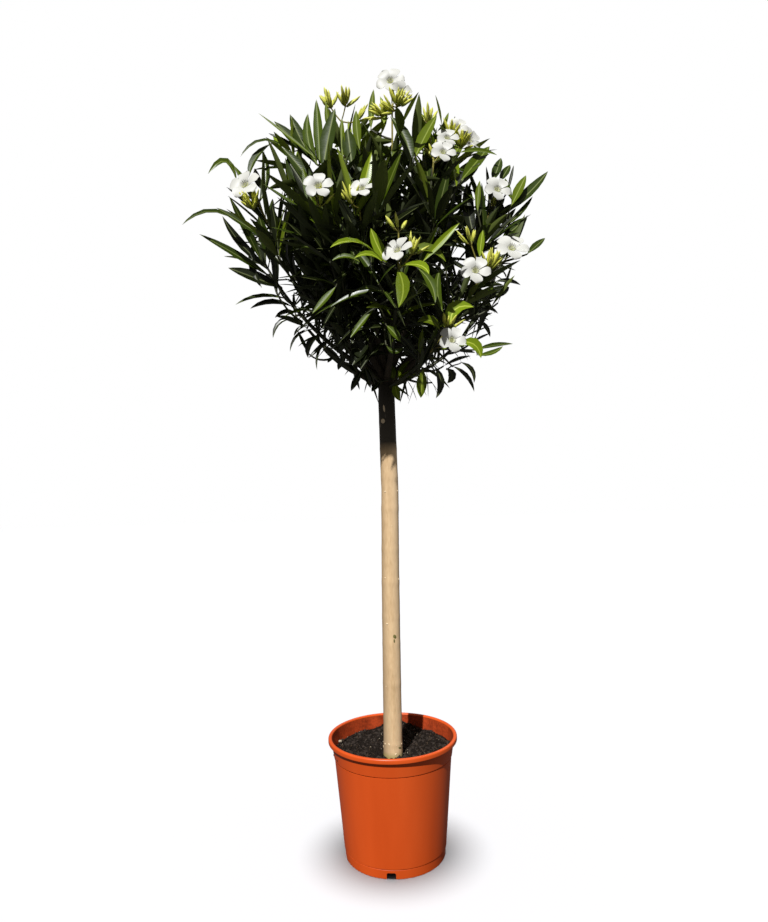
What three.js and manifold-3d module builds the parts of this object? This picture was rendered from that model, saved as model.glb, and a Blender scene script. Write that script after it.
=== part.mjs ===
// A white oleander grown as a standard: a clear stem with a round, open crown, in a plastic nursery pot.
// Millimetres, +Z up. The origin is the middle of the pot's underside, on the ground.
import * as THREE from 'three';
import { mergeVertices } from 'three/addons/utils/BufferGeometryUtils.js';
import Module from 'manifold-3d';

const wasm = await Module();
wasm.setup();

// ---------------------------------------------------------------- driving dimensions

const GAP = 0.4; // clearance between pieces that touch in life
// Joining leaves details finer than this, which are dropped, and corners that nearly meet, which are set on a
// grid: [finest detail, grid], tried in turn until the faces are clean.
const CLEANINGS = [[0.1, 0.01], [0.06, 0.01], [0.15, 0.01], [0.1, 0.003], [0.03, 0.006], [0.2, 0.02], [0.15, 0.03]];
const SLIVER = 0.003; // the least height of a triangle

const pot = {
  rimRadius: 140,
  height: 250,
  wall: 2,
  lipHeight: 10,
  lipWidth: 8,
  lipRound: 3,
  step: 1.2, // the small steps under the band and over the foot
  bandTopRadius: 133, // the plain band under the lip
  bandFootRadius: 128.4,
  bandHeight: 30.5,
  bodyFootRadius: 110.4,
  footTopRadius: 109.2, // the foot ring, a little inside the body
  footRadius: 107.2,
  footHeight: 20,
  footWall: 5,
  floorHeight: 9.5, // the raised floor between the foot ring and the middle pad
  floorWall: 2.5,
  padRadius: 38,
  padSlope: 8,
  sides: 36,
  notches: 4, // drain slots cut in the foot ring and the floor's edge
  notchWidth: 19,
  notchDepth: 26,
  notchHeight: 13,
  notchBearing: THREE.MathUtils.degToRad(-95.5),
};

const soil = {
  height: 221, // mean height of the surface
  fall: 0.012, // it lies a little higher towards +X
  lumps: 1.3,
  waves: [0.061, 0.047, 0.11, 0.093], // of the lumps, in radians a millimetre
  mound: { x: 8, y: 118, reach: 64, height: 16 }, // heaped against the back wall
  rings: [104, 76, 44, 0],
};

const trunk = {
  footX: 0,
  footY: -38,
  footZ: 216,
  flare: 22.6, // radius at the flat cut
  flareHeight: 34,
  radius: 20.6, // above the flare
  forkRadius: 18.8, // at the lowest bough
  headRadius: 14, // at the top of the head that carries the boughs
  forkZ: 985,
  headZ: 1086,
  // where the centre line bows out, as [height, x]
  bow: [[420, 2.5], [600, 5], [780, 9], [985, 7]],
  topX: 9,
  topY: -34,
  sides: 12,
  rings: 9,
};

const bough = {
  radius: 8,
  tipRadius: 5.4,
  sides: 5,
  step: 30,
  footOut: 11, // where its line starts inside the trunk, out from the middle
  // a shoot sets out level and then turns up: how far out and how high its bend is, as shares of its reach
  bendOut: 0.58,
  bendUp: 0.3,
};

const twig = {
  radius: 5,
  tipRadius: 4.2,
  sides: 3,
  step: 75,
  bareFoot: 8, // bare length over a bough's tip
  bareTrunk: 34, // and where the stem starts inside the trunk
  bareShoot: 0.3, // bare share of a side shoot
  lastLeaf: 0.985, // the furthest along a shoot that a leaf joins it
  clearance: 16, // between one mass's shoots and another's
  tries: 6,
  // side shoots
  firstShare: 0.14,
  lastShare: 0.74,
  shortest: 92,
  longest: 128,
  forward: 0.66,
  sideways: 0.75,
  thinner: 0.8,
};

const leaf = {
  length: 146,
  width: 0.165, // share of its length
  keel: 0.016, // depth of the midrib below the blade, as a share of its length
  rootShare: 0.12, // size of the blade's section where it is let into the twig
  whorl: 3, // leaves in each whorl
  spacing: 46, // between whorls
  lowShare: 0.66, // length of a leaf at the foot of the crown, as a share of one at fullZ and over
  lowZ: 1020,
  fullZ: 1260,
  firstShare: 0.72, // length of the first leaves on a shoot, as a share of the last
  openAngle: 84, // between the shoot and its first leaves, in degrees
  closeAngle: 26, // and its last ones
  scatter: 11,
  openSag: 0.22, // how far a tip hangs, as a share of the length
  closeSag: 0.06,
  widest: 0.46, // where along the blade
};

const bloom = {
  radius: 30,
  reach: 34, // from the stalk's end to the face of a flower
  throat: 7,
  petals: 5,
  // one petal's edge, as [turn in petals, share of the radius, lift in radii]
  petalOutline: [[0, 1, 0.18], [0.5, 0.46, 0]],
  budReach: 30,
  budLength: 15,
  budRadius: 6,
  sunk: 3, // how far a flower's foot is let into the stalk
  flowerLean: [0.5, 0.95], // from the stalk's line, in radians
  budLean: [0.1, 0.6],
};

// The crown, one row for each mass of foliage, in millimetres and degrees:
//   bearing  the way its leading shoot goes, 0 towards +X and 90 towards +Y
//   out, tip how far that shoot's end stands from the stem, and how high it is
//   foot     where it leaves the trunk
//   bough    length of the limb under the foliage, 0 where the foliage starts on the trunk
//   stalk    bare length below the blossom
//   flowers, buds, shoots  how many open flowers, bud clusters and side shoots it has
const crownPlan = [
  ['left', -157, 272, 1376, 1022, 120, 30, 2, 3, 2],
  ['far_left', 176, 262, 1292, 1030, 100, 0, 0, 0, 2],
  ['low_left', -168, 200, 1176, 1010, 60, 0, 0, 0, 2],
  ['front_left', -122, 236, 1316, 1030, 110, 16, 1, 2, 2],
  ['front_middle', -104, 178, 1330, 1044, 120, 18, 1, 2, 2],
  ['front', -84, 256, 1180, 1022, 90, 14, 1, 3, 2],
  ['low_front_left', -126, 160, 1128, 1012, 0, 0, 0, 0, 2],
  ['low_right', -60, 186, 1056, 1004, 0, 14, 1, 2, 2],
  ['right_front', -38, 246, 1200, 1022, 95, 20, 2, 3, 2],
  ['right', -14, 236, 1362, 1030, 120, 22, 1, 2, 2],
  ['low_far_right', -14, 180, 1112, 1008, 0, 0, 0, 0, 2],
  ['back_right', 24, 256, 1276, 1032, 100, 24, 2, 2, 2],
  ['low_back_right', 48, 170, 1110, 1014, 0, 0, 0, 0, 2],
  ['back', 78, 258, 1250, 1022, 100, 24, 1, 2, 2],
  ['low_back', 100, 160, 1108, 1006, 0, 0, 0, 0, 1],
  ['back_left', 122, 256, 1310, 1030, 105, 24, 2, 2, 2],
  ['low_back_left', 150, 178, 1128, 1016, 0, 0, 0, 0, 2],
  ['upper_left', -140, 148, 1484, 1050, 150, 0, 0, 0, 3],
  ['top_left', -166, 84, 1588, 1072, 170, 60, 0, 3, 2],
  ['top', -72, 92, 1582, 1070, 165, 120, 3, 3, 2],
  ['upper_front_right', -44, 152, 1448, 1046, 140, 20, 2, 2, 2],
  ['upper_right', 4, 154, 1550, 1066, 160, 50, 3, 3, 2],
  ['upper_back_right', 44, 188, 1462, 1048, 140, 30, 1, 2, 2],
  ['top_back', 92, 112, 1560, 1070, 160, 40, 1, 3, 2],
  ['upper_back_left', 138, 186, 1468, 1050, 140, 30, 1, 2, 2],
];
const crown = crownPlan.map(([name, bearing, out, tip, foot, bough, stalk, flowers, buds, shoots]) => (
  { name, bearing, out, tip, foot, bough, stalk, flowers, buds, shoots }
));

const GOLDEN = THREE.MathUtils.degToRad(137.5);
const UP = new THREE.Vector3(0, 0, 1);
const EAST = new THREE.Vector3(1, 0, 0);

const materialOf = (color, roughness) => new THREE.MeshStandardMaterial({ color, roughness, metalness: 0 });
const finish = {
  pot: materialOf(0xc8501f, 0.38),
  soil: materialOf(0x2b211b, 0.95),
  bark: materialOf(0xc9a878, 0.8),
  limb: materialOf(0x6d6147, 0.8),
  foliage: materialOf(0x33491f, 0.45),
};

// ---------------------------------------------------------------- small helpers

const mix = THREE.MathUtils.lerp;

// A repeatable run of numbers from 0 to 1.
function seeded(seed) {
  let state = seed >>> 0;
  return () => {
    state = (Math.imul(state, 1664525) + 1013904223) >>> 0;
    return state / 4294967296;
  };
}

// Corners and triangles as a solid.
const manifold = (positions, index) => new wasm.Manifold(
  new wasm.Mesh({
    numProp: 3,
    vertProperties: new Float32Array(positions),
    triVerts: new Uint32Array(index),
  }),
);

// A closed geometry as a solid that can be cut and joined, turned right side out.
function solidOf(geometry) {
  const bare = geometry.clone();
  bare.deleteAttribute('normal');
  bare.deleteAttribute('uv');
  const merged = mergeVertices(bare, 1e-3);
  const { array } = merged.attributes.position;
  const made = manifold(array, merged.index.array);
  return made.volume() < 0 ? manifold(array, Array.from(merged.index.array).reverse()) : made;
}

function geometryOf(solid) {
  const mesh = solid.getMesh();
  const positions = new Float32Array(mesh.numVert * 3);
  for (let i = 0; i < mesh.numVert; i++) {
    positions.set(mesh.vertProperties.subarray(i * mesh.numProp, i * mesh.numProp + 3), i * 3);
  }
  const geometry = new THREE.BufferGeometry();
  geometry.setAttribute('position', new THREE.BufferAttribute(positions, 3));
  geometry.setIndex(new THREE.BufferAttribute(new Uint32Array(mesh.triVerts), 1));
  geometry.computeVertexNormals();
  return geometry;
}

// The largest piece of a solid, which drops loose scraps and fills a hollow sealed by joining.
function largest(solid) {
  return solid.decompose().reduce((a, b) => (b.volume() > a.volume() ? b : a));
}

// The corners and triangles of a solid, with its corners set on the grid and those that meet made one.
function onGrid(solid, grid) {
  const mesh = solid.getMesh();
  const places = new Map();
  const indexOf = (i) => {
    const place = mesh.vertProperties.subarray(i * mesh.numProp, i * mesh.numProp + 3);
    const key = Array.from(place, (v) => Math.round(v / grid)).join();
    if (!places.has(key)) places.set(key, places.size);
    return places.get(key);
  };
  const triangles = [];
  for (let i = 0; i < mesh.numTri; i++) {
    const triangle = Array.from(mesh.triVerts.subarray(i * 3, i * 3 + 3), indexOf);
    if (new Set(triangle).size === 3) triangles.push(triangle);
  }
  const corners = [...places.keys()].map((key) => new THREE.Vector3(...key.split(',').map((v) => v * grid)));
  return { corners, triangles };
}

// True if each edge joins just two triangles and no triangle is a sliver.
function isClean({ corners, triangles }) {
  const uses = new Map();
  for (const triangle of triangles) {
    const [a, b, c] = triangle.map((i) => corners[i]);
    const longest = Math.max(a.distanceTo(b), b.distanceTo(c), c.distanceTo(a));
    if (new THREE.Triangle(a, b, c).getArea() * 2 < SLIVER * longest) return false;
    triangle.forEach((i, k) => {
      const j = triangle[(k + 1) % 3];
      const edge = `${Math.min(i, j)} ${Math.max(i, j)}`;
      uses.set(edge, (uses.get(edge) ?? 0) + 1);
    });
  }
  return [...uses.values()].every((count) => count === 2);
}

// A joined solid as one body with clean faces.
function settled(solid) {
  const body = largest(solid).asOriginal();
  for (const [finest, grid] of CLEANINGS) {
    const { corners, triangles } = onGrid(body.simplify(finest), grid);
    const made = largest(manifold(corners.flatMap((corner) => corner.toArray()), triangles.flat()));
    if (isClean(onGrid(made, grid))) return made;
  }
  throw new Error('a joined piece could not be made clean');
}

function meshOf(name, solid, material) {
  const mesh = new THREE.Mesh(geometryOf(solid), material);
  mesh.name = name;
  return mesh;
}

// Any unit vector square to the given one.
const squareTo = (axis) => (Math.abs(axis.z) < 0.9 ? UP : EAST).clone().cross(axis).normalize();

// A unit vector square to `axis`, turned about it by an angle from `side`, which is square to it too.
const turnedAbout = (axis, side, angle) => side.clone().multiplyScalar(Math.cos(angle))
  .addScaledVector(axis.clone().cross(side), Math.sin(angle));

// The normal of the plane that a bent line lies in, square to it all along.
const normalOf = ({ v0, v1, v2 }) => v1.clone().sub(v0).cross(v2.clone().sub(v1)).normalize();

// A solid limb along a bent line, from share `from` of it to share `to`, with a radius at each share of that.
function limb(curve, from, to, radiusAt, sides, steps) {
  const geometry = new THREE.CylinderGeometry(1, 1, 1, sides, steps);
  const position = geometry.attributes.position;
  const side = normalOf(curve);
  for (let i = 0; i < position.count; i++) {
    const share = position.getY(i) + 0.5;
    const t = mix(from, to, share);
    const other = curve.getTangent(t).cross(side);
    const radius = radiusAt(share);
    const place = curve.getPoint(t)
      .addScaledVector(side, position.getX(i) * radius)
      .addScaledVector(other, -position.getZ(i) * radius);
    position.setXYZ(i, place.x, place.y, place.z);
  }
  return solidOf(geometry);
}

// A turned shape from [radius, height] points, about the Z axis.
function turned(profile, sides) {
  const points = profile.map(([r, z]) => new THREE.Vector2(r, z));
  const geometry = new THREE.LatheGeometry(points, sides);
  geometry.rotateX(Math.PI / 2);
  return geometry;
}

// ---------------------------------------------------------------- pot and soil

const bandFoot = pot.height - pot.lipHeight - pot.bandHeight;

// The pot's inner face, from the top of the wall down to the middle of the floor.
function innerProfile() {
  const floor = pot.floorHeight + pot.floorWall;
  return [
    [pot.bandTopRadius - pot.wall, pot.height - pot.lipHeight],
    [pot.bandFootRadius - pot.wall, bandFoot],
    [pot.bodyFootRadius - pot.wall, pot.footHeight],
    [pot.footRadius - pot.footWall, floor],
    [pot.padRadius + pot.padSlope, floor],
    [pot.padRadius - pot.wall, pot.floorWall],
    [0, pot.floorWall],
  ];
}

function buildPot() {
  const lipFoot = pot.height - pot.lipHeight;
  const outer = [
    [0, 0],
    [pot.padRadius, 0],
    [pot.padRadius + pot.padSlope, pot.floorHeight],
    [pot.footRadius - pot.footWall, pot.floorHeight],
    [pot.footRadius - pot.footWall, 0],
    [pot.footRadius, 0],
    [pot.footTopRadius, pot.footHeight],
    [pot.bodyFootRadius, pot.footHeight + pot.step],
    [pot.bandFootRadius - pot.step, bandFoot - pot.step],
    [pot.bandFootRadius, bandFoot],
    [pot.bandTopRadius, lipFoot],
    [pot.rimRadius, lipFoot + pot.step],
    [pot.rimRadius, pot.height - pot.lipRound],
    [pot.rimRadius - pot.lipRound, pot.height],
    [pot.rimRadius - pot.lipWidth, pot.height],
  ];
  const solid = solidOf(turned([...outer, ...innerProfile()], pot.sides));
  const notches = Array.from({ length: pot.notches }, (_, i) => {
    const notch = new THREE.BoxGeometry(pot.notchDepth, pot.notchWidth, pot.notchHeight * 2);
    notch.translate(pot.footTopRadius, 0, 0).rotateZ(pot.notchBearing + (i * 2 * Math.PI) / pot.notches);
    return solidOf(notch);
  });
  return meshOf('pot', solid.subtract(wasm.Manifold.union(notches)), finish.pot);
}

// Height of the soil at a place, before the stem's foot is let in.
function soilHeight(x, y) {
  const [a, b, c, d] = soil.waves;
  const lumps = Math.sin(x * a + 1.3) * Math.cos(y * b) + 0.6 * Math.sin(x * c - y * d + 0.4);
  const { mound } = soil;
  const heap = mound.height * (1 - THREE.MathUtils.smoothstep(Math.hypot(x - mound.x, y - mound.y), 0, mound.reach));
  return soil.height + soil.fall * x + soil.lumps * lumps + heap;
}

// Radius of the pot's inner wall at a height between the floor and the lip.
function wallRadiusAt(z) {
  const [top, knee, foot] = innerProfile();
  return z > knee[1]
    ? mix(knee[0], top[0], (z - knee[1]) / (top[1] - knee[1]))
    : mix(foot[0], knee[0], (z - foot[1]) / (knee[1] - foot[1]));
}

function buildSoil() {
  const below = innerProfile().slice(1).reverse().map(([r, z]) => [Math.max(r - GAP, 0), z + GAP]);
  const above = [wallRadiusAt(soil.height), ...soil.rings].map((r) => [r, soil.height]);
  const geometry = turned([...below, ...above], pot.sides);
  const position = geometry.attributes.position;
  for (let i = 0; i < position.count; i++) {
    if (Math.abs(position.getZ(i) - soil.height) > GAP / 2) continue;
    const [x, y] = [position.getX(i), position.getY(i)];
    const z = soilHeight(x, y);
    const out = Math.hypot(x, y);
    const fit = out > soil.rings[0] + GAP ? (wallRadiusAt(z) - GAP) / out : 1;
    position.setXYZ(i, x * fit, y * fit, z);
  }
  const seat = new THREE.CylinderGeometry(trunk.flare + GAP, trunk.flare + GAP, soil.height, trunk.sides);
  seat.rotateX(Math.PI / 2).translate(trunk.footX, trunk.footY, trunk.footZ - GAP + soil.height / 2);
  return meshOf('soil', solidOf(geometry).subtract(solidOf(seat)), finish.soil);
}

// ---------------------------------------------------------------- trunk

const trunkLine = [[trunk.footZ, trunk.footX], ...trunk.bow, [trunk.headZ, trunk.topX]];

// The middle of the trunk at a height.
function trunkAt(z) {
  const above = Math.max(1, trunkLine.findIndex(([height], i) => height >= z || i === trunkLine.length - 1));
  const [low, high] = [trunkLine[above - 1], trunkLine[above]];
  const x = mix(low[1], high[1], (z - low[0]) / (high[0] - low[0]));
  const share = (z - trunk.footZ) / (trunk.headZ - trunk.footZ);
  return new THREE.Vector3(x, mix(trunk.footY, trunk.topY, share), z);
}

function trunkRadius(z) {
  const up = z - trunk.footZ;
  if (up < trunk.flareHeight) {
    return trunk.radius + (trunk.flare - trunk.radius) * (1 - up / trunk.flareHeight) ** 2;
  }
  if (z < trunk.forkZ) {
    return mix(trunk.radius, trunk.forkRadius, (up - trunk.flareHeight) / (trunk.forkZ - trunk.footZ));
  }
  return mix(trunk.forkRadius, trunk.headRadius, (z - trunk.forkZ) / (trunk.headZ - trunk.forkZ));
}

// Level rings stacked up the bowed line, so that the foot's cut is flat, all `extra` larger than life.
function buildTrunkSolid(extra) {
  const flareLevels = [0, 0.3, 0.65].map((share) => trunk.footZ + share * trunk.flareHeight);
  const stemLevels = Array.from({ length: trunk.rings }, (_, i) => (
    mix(trunk.footZ + trunk.flareHeight, trunk.forkZ, i / (trunk.rings - 1))));
  const levels = [...flareLevels, ...stemLevels, (trunk.forkZ + trunk.headZ) / 2, trunk.headZ];
  levels[0] -= extra;
  levels[levels.length - 1] += extra;
  const geometry = new THREE.CylinderGeometry(1, 1, 1, trunk.sides, levels.length - 1);
  const position = geometry.attributes.position;
  for (let i = 0; i < position.count; i++) {
    const z = levels[Math.round((position.getY(i) + 0.5) * (levels.length - 1))];
    const centre = trunkAt(z);
    const radius = trunkRadius(z) + extra;
    position.setXYZ(i, centre.x + position.getX(i) * radius, centre.y - position.getZ(i) * radius, z);
  }
  return solidOf(geometry);
}

const trunkSolid = buildTrunkSolid(0);
const trunkHull = buildTrunkSolid(GAP);

// ---------------------------------------------------------------- how the crown grows

// The line of a mass's leading shoot, from the middle of the trunk to its end.
function leaderOf(row) {
  const bearing = THREE.MathUtils.degToRad(row.bearing);
  const outward = new THREE.Vector3(Math.cos(bearing), Math.sin(bearing), 0);
  const foot = trunkAt(row.foot).addScaledVector(outward, bough.footOut);
  const end = trunkAt(trunk.forkZ).addScaledVector(outward, row.out).setZ(row.tip);
  const rise = end.z - foot.z;
  const bend = foot.clone()
    .addScaledVector(outward, row.out * bough.bendOut)
    .addScaledVector(UP, rise * bough.bendUp);
  return new THREE.QuadraticBezierCurve3(foot, bend, end);
}

// Side shoots leave the leader round it by the golden angle, and turn up.
function sideShoot(row, leader, start, number, random) {
  const t = mix(start, 1, mix(twig.firstShare, twig.lastShare, (number + random()) / row.shoots));
  const from = leader.getPoint(t);
  const axis = leader.getTangent(t);
  const turn = GOLDEN * (number + 1) + 2 * Math.PI * random();
  const away = axis.clone().multiplyScalar(twig.forward)
    .addScaledVector(turnedAbout(axis, normalOf(leader), turn), twig.sideways)
    .normalize();
  const length = mix(twig.shortest, twig.longest, random());
  const bend = from.clone().addScaledVector(away, length / 2);
  const end = bend.clone().addScaledVector(away, length / 3).addScaledVector(UP, length / 3);
  return new THREE.QuadraticBezierCurve3(from, bend, end);
}

// One leaf: its root, the way it points, its upper side, its length and how far its tip hangs.
function leafAt(curve, t, share, turn, random) {
  const root = curve.getPoint(t);
  const axis = curve.getTangent(t);
  const radial = turnedAbout(axis, normalOf(curve), turn);
  const degrees = mix(leaf.openAngle, leaf.closeAngle, share) + leaf.scatter * (random() - 0.5);
  const angle = THREE.MathUtils.degToRad(degrees);
  const along = axis.clone().multiplyScalar(Math.cos(angle)).addScaledVector(radial, Math.sin(angle));
  const upper = axis.clone().multiplyScalar(Math.sin(angle)).addScaledVector(radial, -Math.cos(angle));
  const rise = THREE.MathUtils.smoothstep(root.z, leaf.lowZ, leaf.fullZ);
  const grown = mix(leaf.lowShare, 1, rise) * mix(leaf.firstShare, 1, share);
  const length = leaf.length * grown * mix(0.9, 1.1, random());
  const sag = mix(leaf.openSag, leaf.closeSag, share) * mix(0.6, 1.4, random());
  return { root, along, upper, length, sag };
}

// A keeled blade: the triangle at its widest shrinks to a small one in the twig and to a point at the tip.
function leafSolid({ root, along, upper, length, sag }) {
  const side = along.clone().cross(upper).normalize();
  const middle = root.clone().addScaledVector(along, length * leaf.widest);
  const tip = root.clone().addScaledVector(along, length).addScaledVector(UP, -length * sag);
  const half = (length * leaf.width) / 2;
  const section = (centre, scale) => [
    centre.clone().addScaledVector(side, half * scale),
    centre.clone().addScaledVector(side, -half * scale),
    centre.clone().addScaledVector(upper, -length * leaf.keel * scale),
  ];
  const corners = [...section(root, leaf.rootShare), ...section(middle, 1), tip];
  const faces = [0, 1, 2, 0, 3, 4, 0, 4, 1, 1, 4, 5, 1, 5, 2, 2, 5, 3, 2, 3, 0, 3, 6, 4, 4, 6, 5, 5, 6, 3];
  const geometry = new THREE.BufferGeometry().setFromPoints(corners);
  geometry.setIndex(faces);
  return { solid: solidOf(geometry), corners: corners.slice(3), root, tip, middle };
}

// A funnel of five blunt petals that narrows to its foot inside the stalk's end.
function flowerSolid(foot, facing, reach, turn) {
  const side = turnedAbout(facing, squareTo(facing), turn);
  const other = facing.clone().cross(side);
  const rim = [];
  for (let petal = 0; petal < bloom.petals; petal++) {
    for (const [offset, share, lift] of bloom.petalOutline) {
      const angle = ((petal + offset) * 2 * Math.PI) / bloom.petals;
      rim.push(
        foot.clone().addScaledVector(facing, reach + bloom.radius * lift)
          .addScaledVector(side, Math.cos(angle) * share * bloom.radius)
          .addScaledVector(other, Math.sin(angle) * share * bloom.radius),
      );
    }
  }
  const throat = foot.clone().addScaledVector(facing, reach - bloom.throat);
  const geometry = new THREE.BufferGeometry().setFromPoints([...rim, throat, foot]);
  const faces = rim.flatMap((_, i) => {
    const next = (i + 1) % rim.length;
    return [i, next, rim.length, next, i, rim.length + 1];
  });
  geometry.setIndex(faces);
  return { solid: solidOf(geometry), corners: rim };
}

// A slim bud with its own stalk: three-sided, widest near its tip.
function budSolid(foot, facing, reach) {
  const sides = [0, 1, 2].map((k) => foot.clone().addScaledVector(facing, reach)
    .addScaledVector(turnedAbout(facing, squareTo(facing), (k * 2 * Math.PI) / 3), bloom.budRadius));
  const tip = foot.clone().addScaledVector(facing, reach + bloom.budLength);
  const geometry = new THREE.BufferGeometry().setFromPoints([foot, ...sides, tip]);
  geometry.setIndex([0, 2, 1, 0, 3, 2, 0, 1, 3, 4, 1, 2, 4, 2, 3, 4, 3, 1]);
  return { solid: solidOf(geometry), corners: [...sides, tip] };
}

// ---------------------------------------------------------------- the space that each mass keeps to

const SPACE_STEP = 9; // between the points that stand for a line
const SPACE_MARGIN = 1.2;
const LIMB_MARGIN = 3;

function pointsOn(curve, from, to) {
  const count = Math.max(2, Math.ceil((curve.getLength() * (to - from)) / SPACE_STEP));
  return Array.from({ length: count + 1 }, (_, i) => curve.getPoint(mix(from, to, i / count)));
}

const nearest = (point, bones) => Math.sqrt(
  bones.reduce((least, bone) => Math.min(least, bone.distanceToSquared(point)), Infinity),
);

// Everything that grows is planned before anything is made, so that each mass knows its neighbours.
const plans = crown.map((row, index) => {
  const random = seeded(7919 * (index + 3));
  const leader = leaderOf(row);
  const length = leader.getLength();
  const start = row.bough / length;
  const leaves = start + (row.bough ? twig.bareFoot : twig.bareTrunk) / length;
  const lines = [{ curve: leader, from: start, leaves, to: 1 - row.stalk / length, leading: true }];
  return { row, leader, start, lines, random, bones: pointsOn(leader, start, 1) };
});

const limbPoints = [];
for (let z = trunk.forkZ - leaf.length; z <= trunk.headZ; z += SPACE_STEP / 2) {
  limbPoints.push({ point: trunkAt(z), radius: trunkRadius(z) });
}
plans.filter((plan) => plan.row.bough).forEach((plan) => {
  pointsOn(plan.leader, 0, plan.start).forEach((point) => limbPoints.push({ point, radius: bough.radius }));
});

const clearOfLimbs = (point, margin) => limbPoints.every(
  (place) => place.point.distanceTo(point) > place.radius + margin,
);

// A side shoot keeps clear of the limbs and of every other mass's shoots, or isn't grown.
plans.forEach((plan) => {
  for (let i = 0; i < plan.row.shoots; i++) {
    for (let tries = 0; tries < twig.tries; tries++) {
      const curve = sideShoot(plan.row, plan.leader, plan.start, i, plan.random);
      const bones = pointsOn(curve, 0, 1);
      const free = bones.every((point) => clearOfLimbs(point, twig.clearance / 2)
        && plans.every((other) => other === plan || nearest(point, other.bones) > twig.clearance));
      if (!free) continue;
      plan.lines.push({ curve, from: 0, leaves: twig.bareShoot, to: 1, leading: false });
      plan.bones.push(...bones);
      break;
    }
  }
});

// True if all these points lie nearer to this mass's own shoots than to any other's, and clear of the limbs.
function keepsToSpace(plan, points) {
  return points.every((point) => {
    const own = nearest(point, plan.bones) + SPACE_MARGIN;
    return plans.every((other) => other === plan || nearest(point, other.bones) > own)
      && clearOfLimbs(point, LIMB_MARGIN);
  });
}

// Points along a leaf's two edges and its middle, beyond its root.
function leafOutline({ root, corners, middle, tip }) {
  const [one, two] = corners;
  const points = [one, two, middle, tip];
  for (const share of [0.3, 0.65]) {
    points.push(root.clone().lerp(one, share), root.clone().lerp(two, share));
  }
  for (const share of [0.25, 0.5, 0.75]) {
    points.push(one.clone().lerp(tip, share), two.clone().lerp(tip, share));
  }
  return points;
}

// ---------------------------------------------------------------- limbs and foliage

// One tapering limb from the trunk's face to where it enters its mass, cut clear of the limbs made before it.
function buildBough({ leader, start, row }, hulls) {
  const shape = (extra) => limb(
    leader,
    0,
    start,
    (share) => mix(bough.radius, bough.tipRadius, share) + extra,
    bough.sides,
    Math.ceil(row.bough / bough.step),
  );
  const solid = hulls.reduce((rest, hull) => rest.subtract(hull), shape(0));
  hulls.push(shape(GAP));
  return meshOf(`bough_${row.name}`, settled(solid), finish.limb);
}

function buildLeaves(plan, line, pieces) {
  const stretch = (line.to - line.leaves) * line.curve.getLength();
  const count = Math.max(2, Math.round(stretch / leaf.spacing));
  for (let i = 0; i <= count; i++) {
    const share = i / count;
    const t = mix(line.leaves, line.to, share);
    for (let k = 0; k < leaf.whorl; k++) {
      const turn = ((2 * k + i) * Math.PI) / leaf.whorl + 0.5 * plan.random();
      const blade = leafSolid(leafAt(line.curve, Math.min(t, twig.lastLeaf), share, turn, plan.random));
      if (keepsToSpace(plan, leafOutline(blade))) pieces.push(blade.solid);
    }
  }
}

// Flowers and buds round the end of the leading shoot.
function buildBlossom(plan, pieces) {
  const axis = plan.leader.getTangent(1);
  const side = normalOf(plan.leader);
  const foot = plan.leader.getPoint(1).addScaledVector(axis, -bloom.sunk);
  const total = plan.row.flowers + plan.row.buds;
  for (let i = 0; i < total; i++) {
    const flower = i < plan.row.flowers;
    const [least, most] = flower ? bloom.flowerLean : bloom.budLean;
    const lean = mix(least, most, plan.random());
    const facing = axis.clone().multiplyScalar(Math.cos(lean))
      .addScaledVector(turnedAbout(axis, side, GOLDEN * i + plan.random()), Math.sin(lean));
    const reach = mix(0.75, 1.25, plan.random());
    const piece = flower
      ? flowerSolid(foot, facing, bloom.reach * reach, plan.random() * 2)
      : budSolid(foot, facing, bloom.budReach * reach);
    if (keepsToSpace(plan, piece.corners)) pieces.push(piece.solid);
  }
}

function buildMass(plan) {
  const { leader, start, row } = plan;
  const gap = row.bough ? GAP / leader.getLength() : 0;
  const pieces = [];
  plan.lines.forEach((line) => {
    const from = line.leading ? start + gap : 0;
    const thick = line.leading ? twig.radius : twig.radius * twig.thinner;
    const steps = Math.max(2, Math.ceil((line.curve.getLength() * (1 - from)) / twig.step));
    pieces.push(limb(line.curve, from, 1, (s) => mix(thick, twig.tipRadius, s), twig.sides, steps));
  });
  plan.lines.forEach((line) => buildLeaves(plan, line, pieces));
  buildBlossom(plan, pieces);
  const joined = wasm.Manifold.union(pieces);
  const clear = row.bough ? joined : joined.subtract(trunkHull);
  return meshOf(`foliage_${row.name}`, settled(clear), finish.foliage);
}

// ---------------------------------------------------------------- assembly

const plant = new THREE.Group();
plant.name = 'potted_oleander';
plant.add(buildPot(), buildSoil(), meshOf('trunk', trunkSolid, finish.bark));

const hulls = [trunkHull];
plans.filter((plan) => plan.row.bough).forEach((plan) => plant.add(buildBough(plan, hulls)));
plans.forEach((plan) => plant.add(buildMass(plan)));

export default plant;
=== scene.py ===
import math

import bmesh
import bpy
import numpy as np
from mathutils import Matrix, Quaternion, Vector


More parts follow.
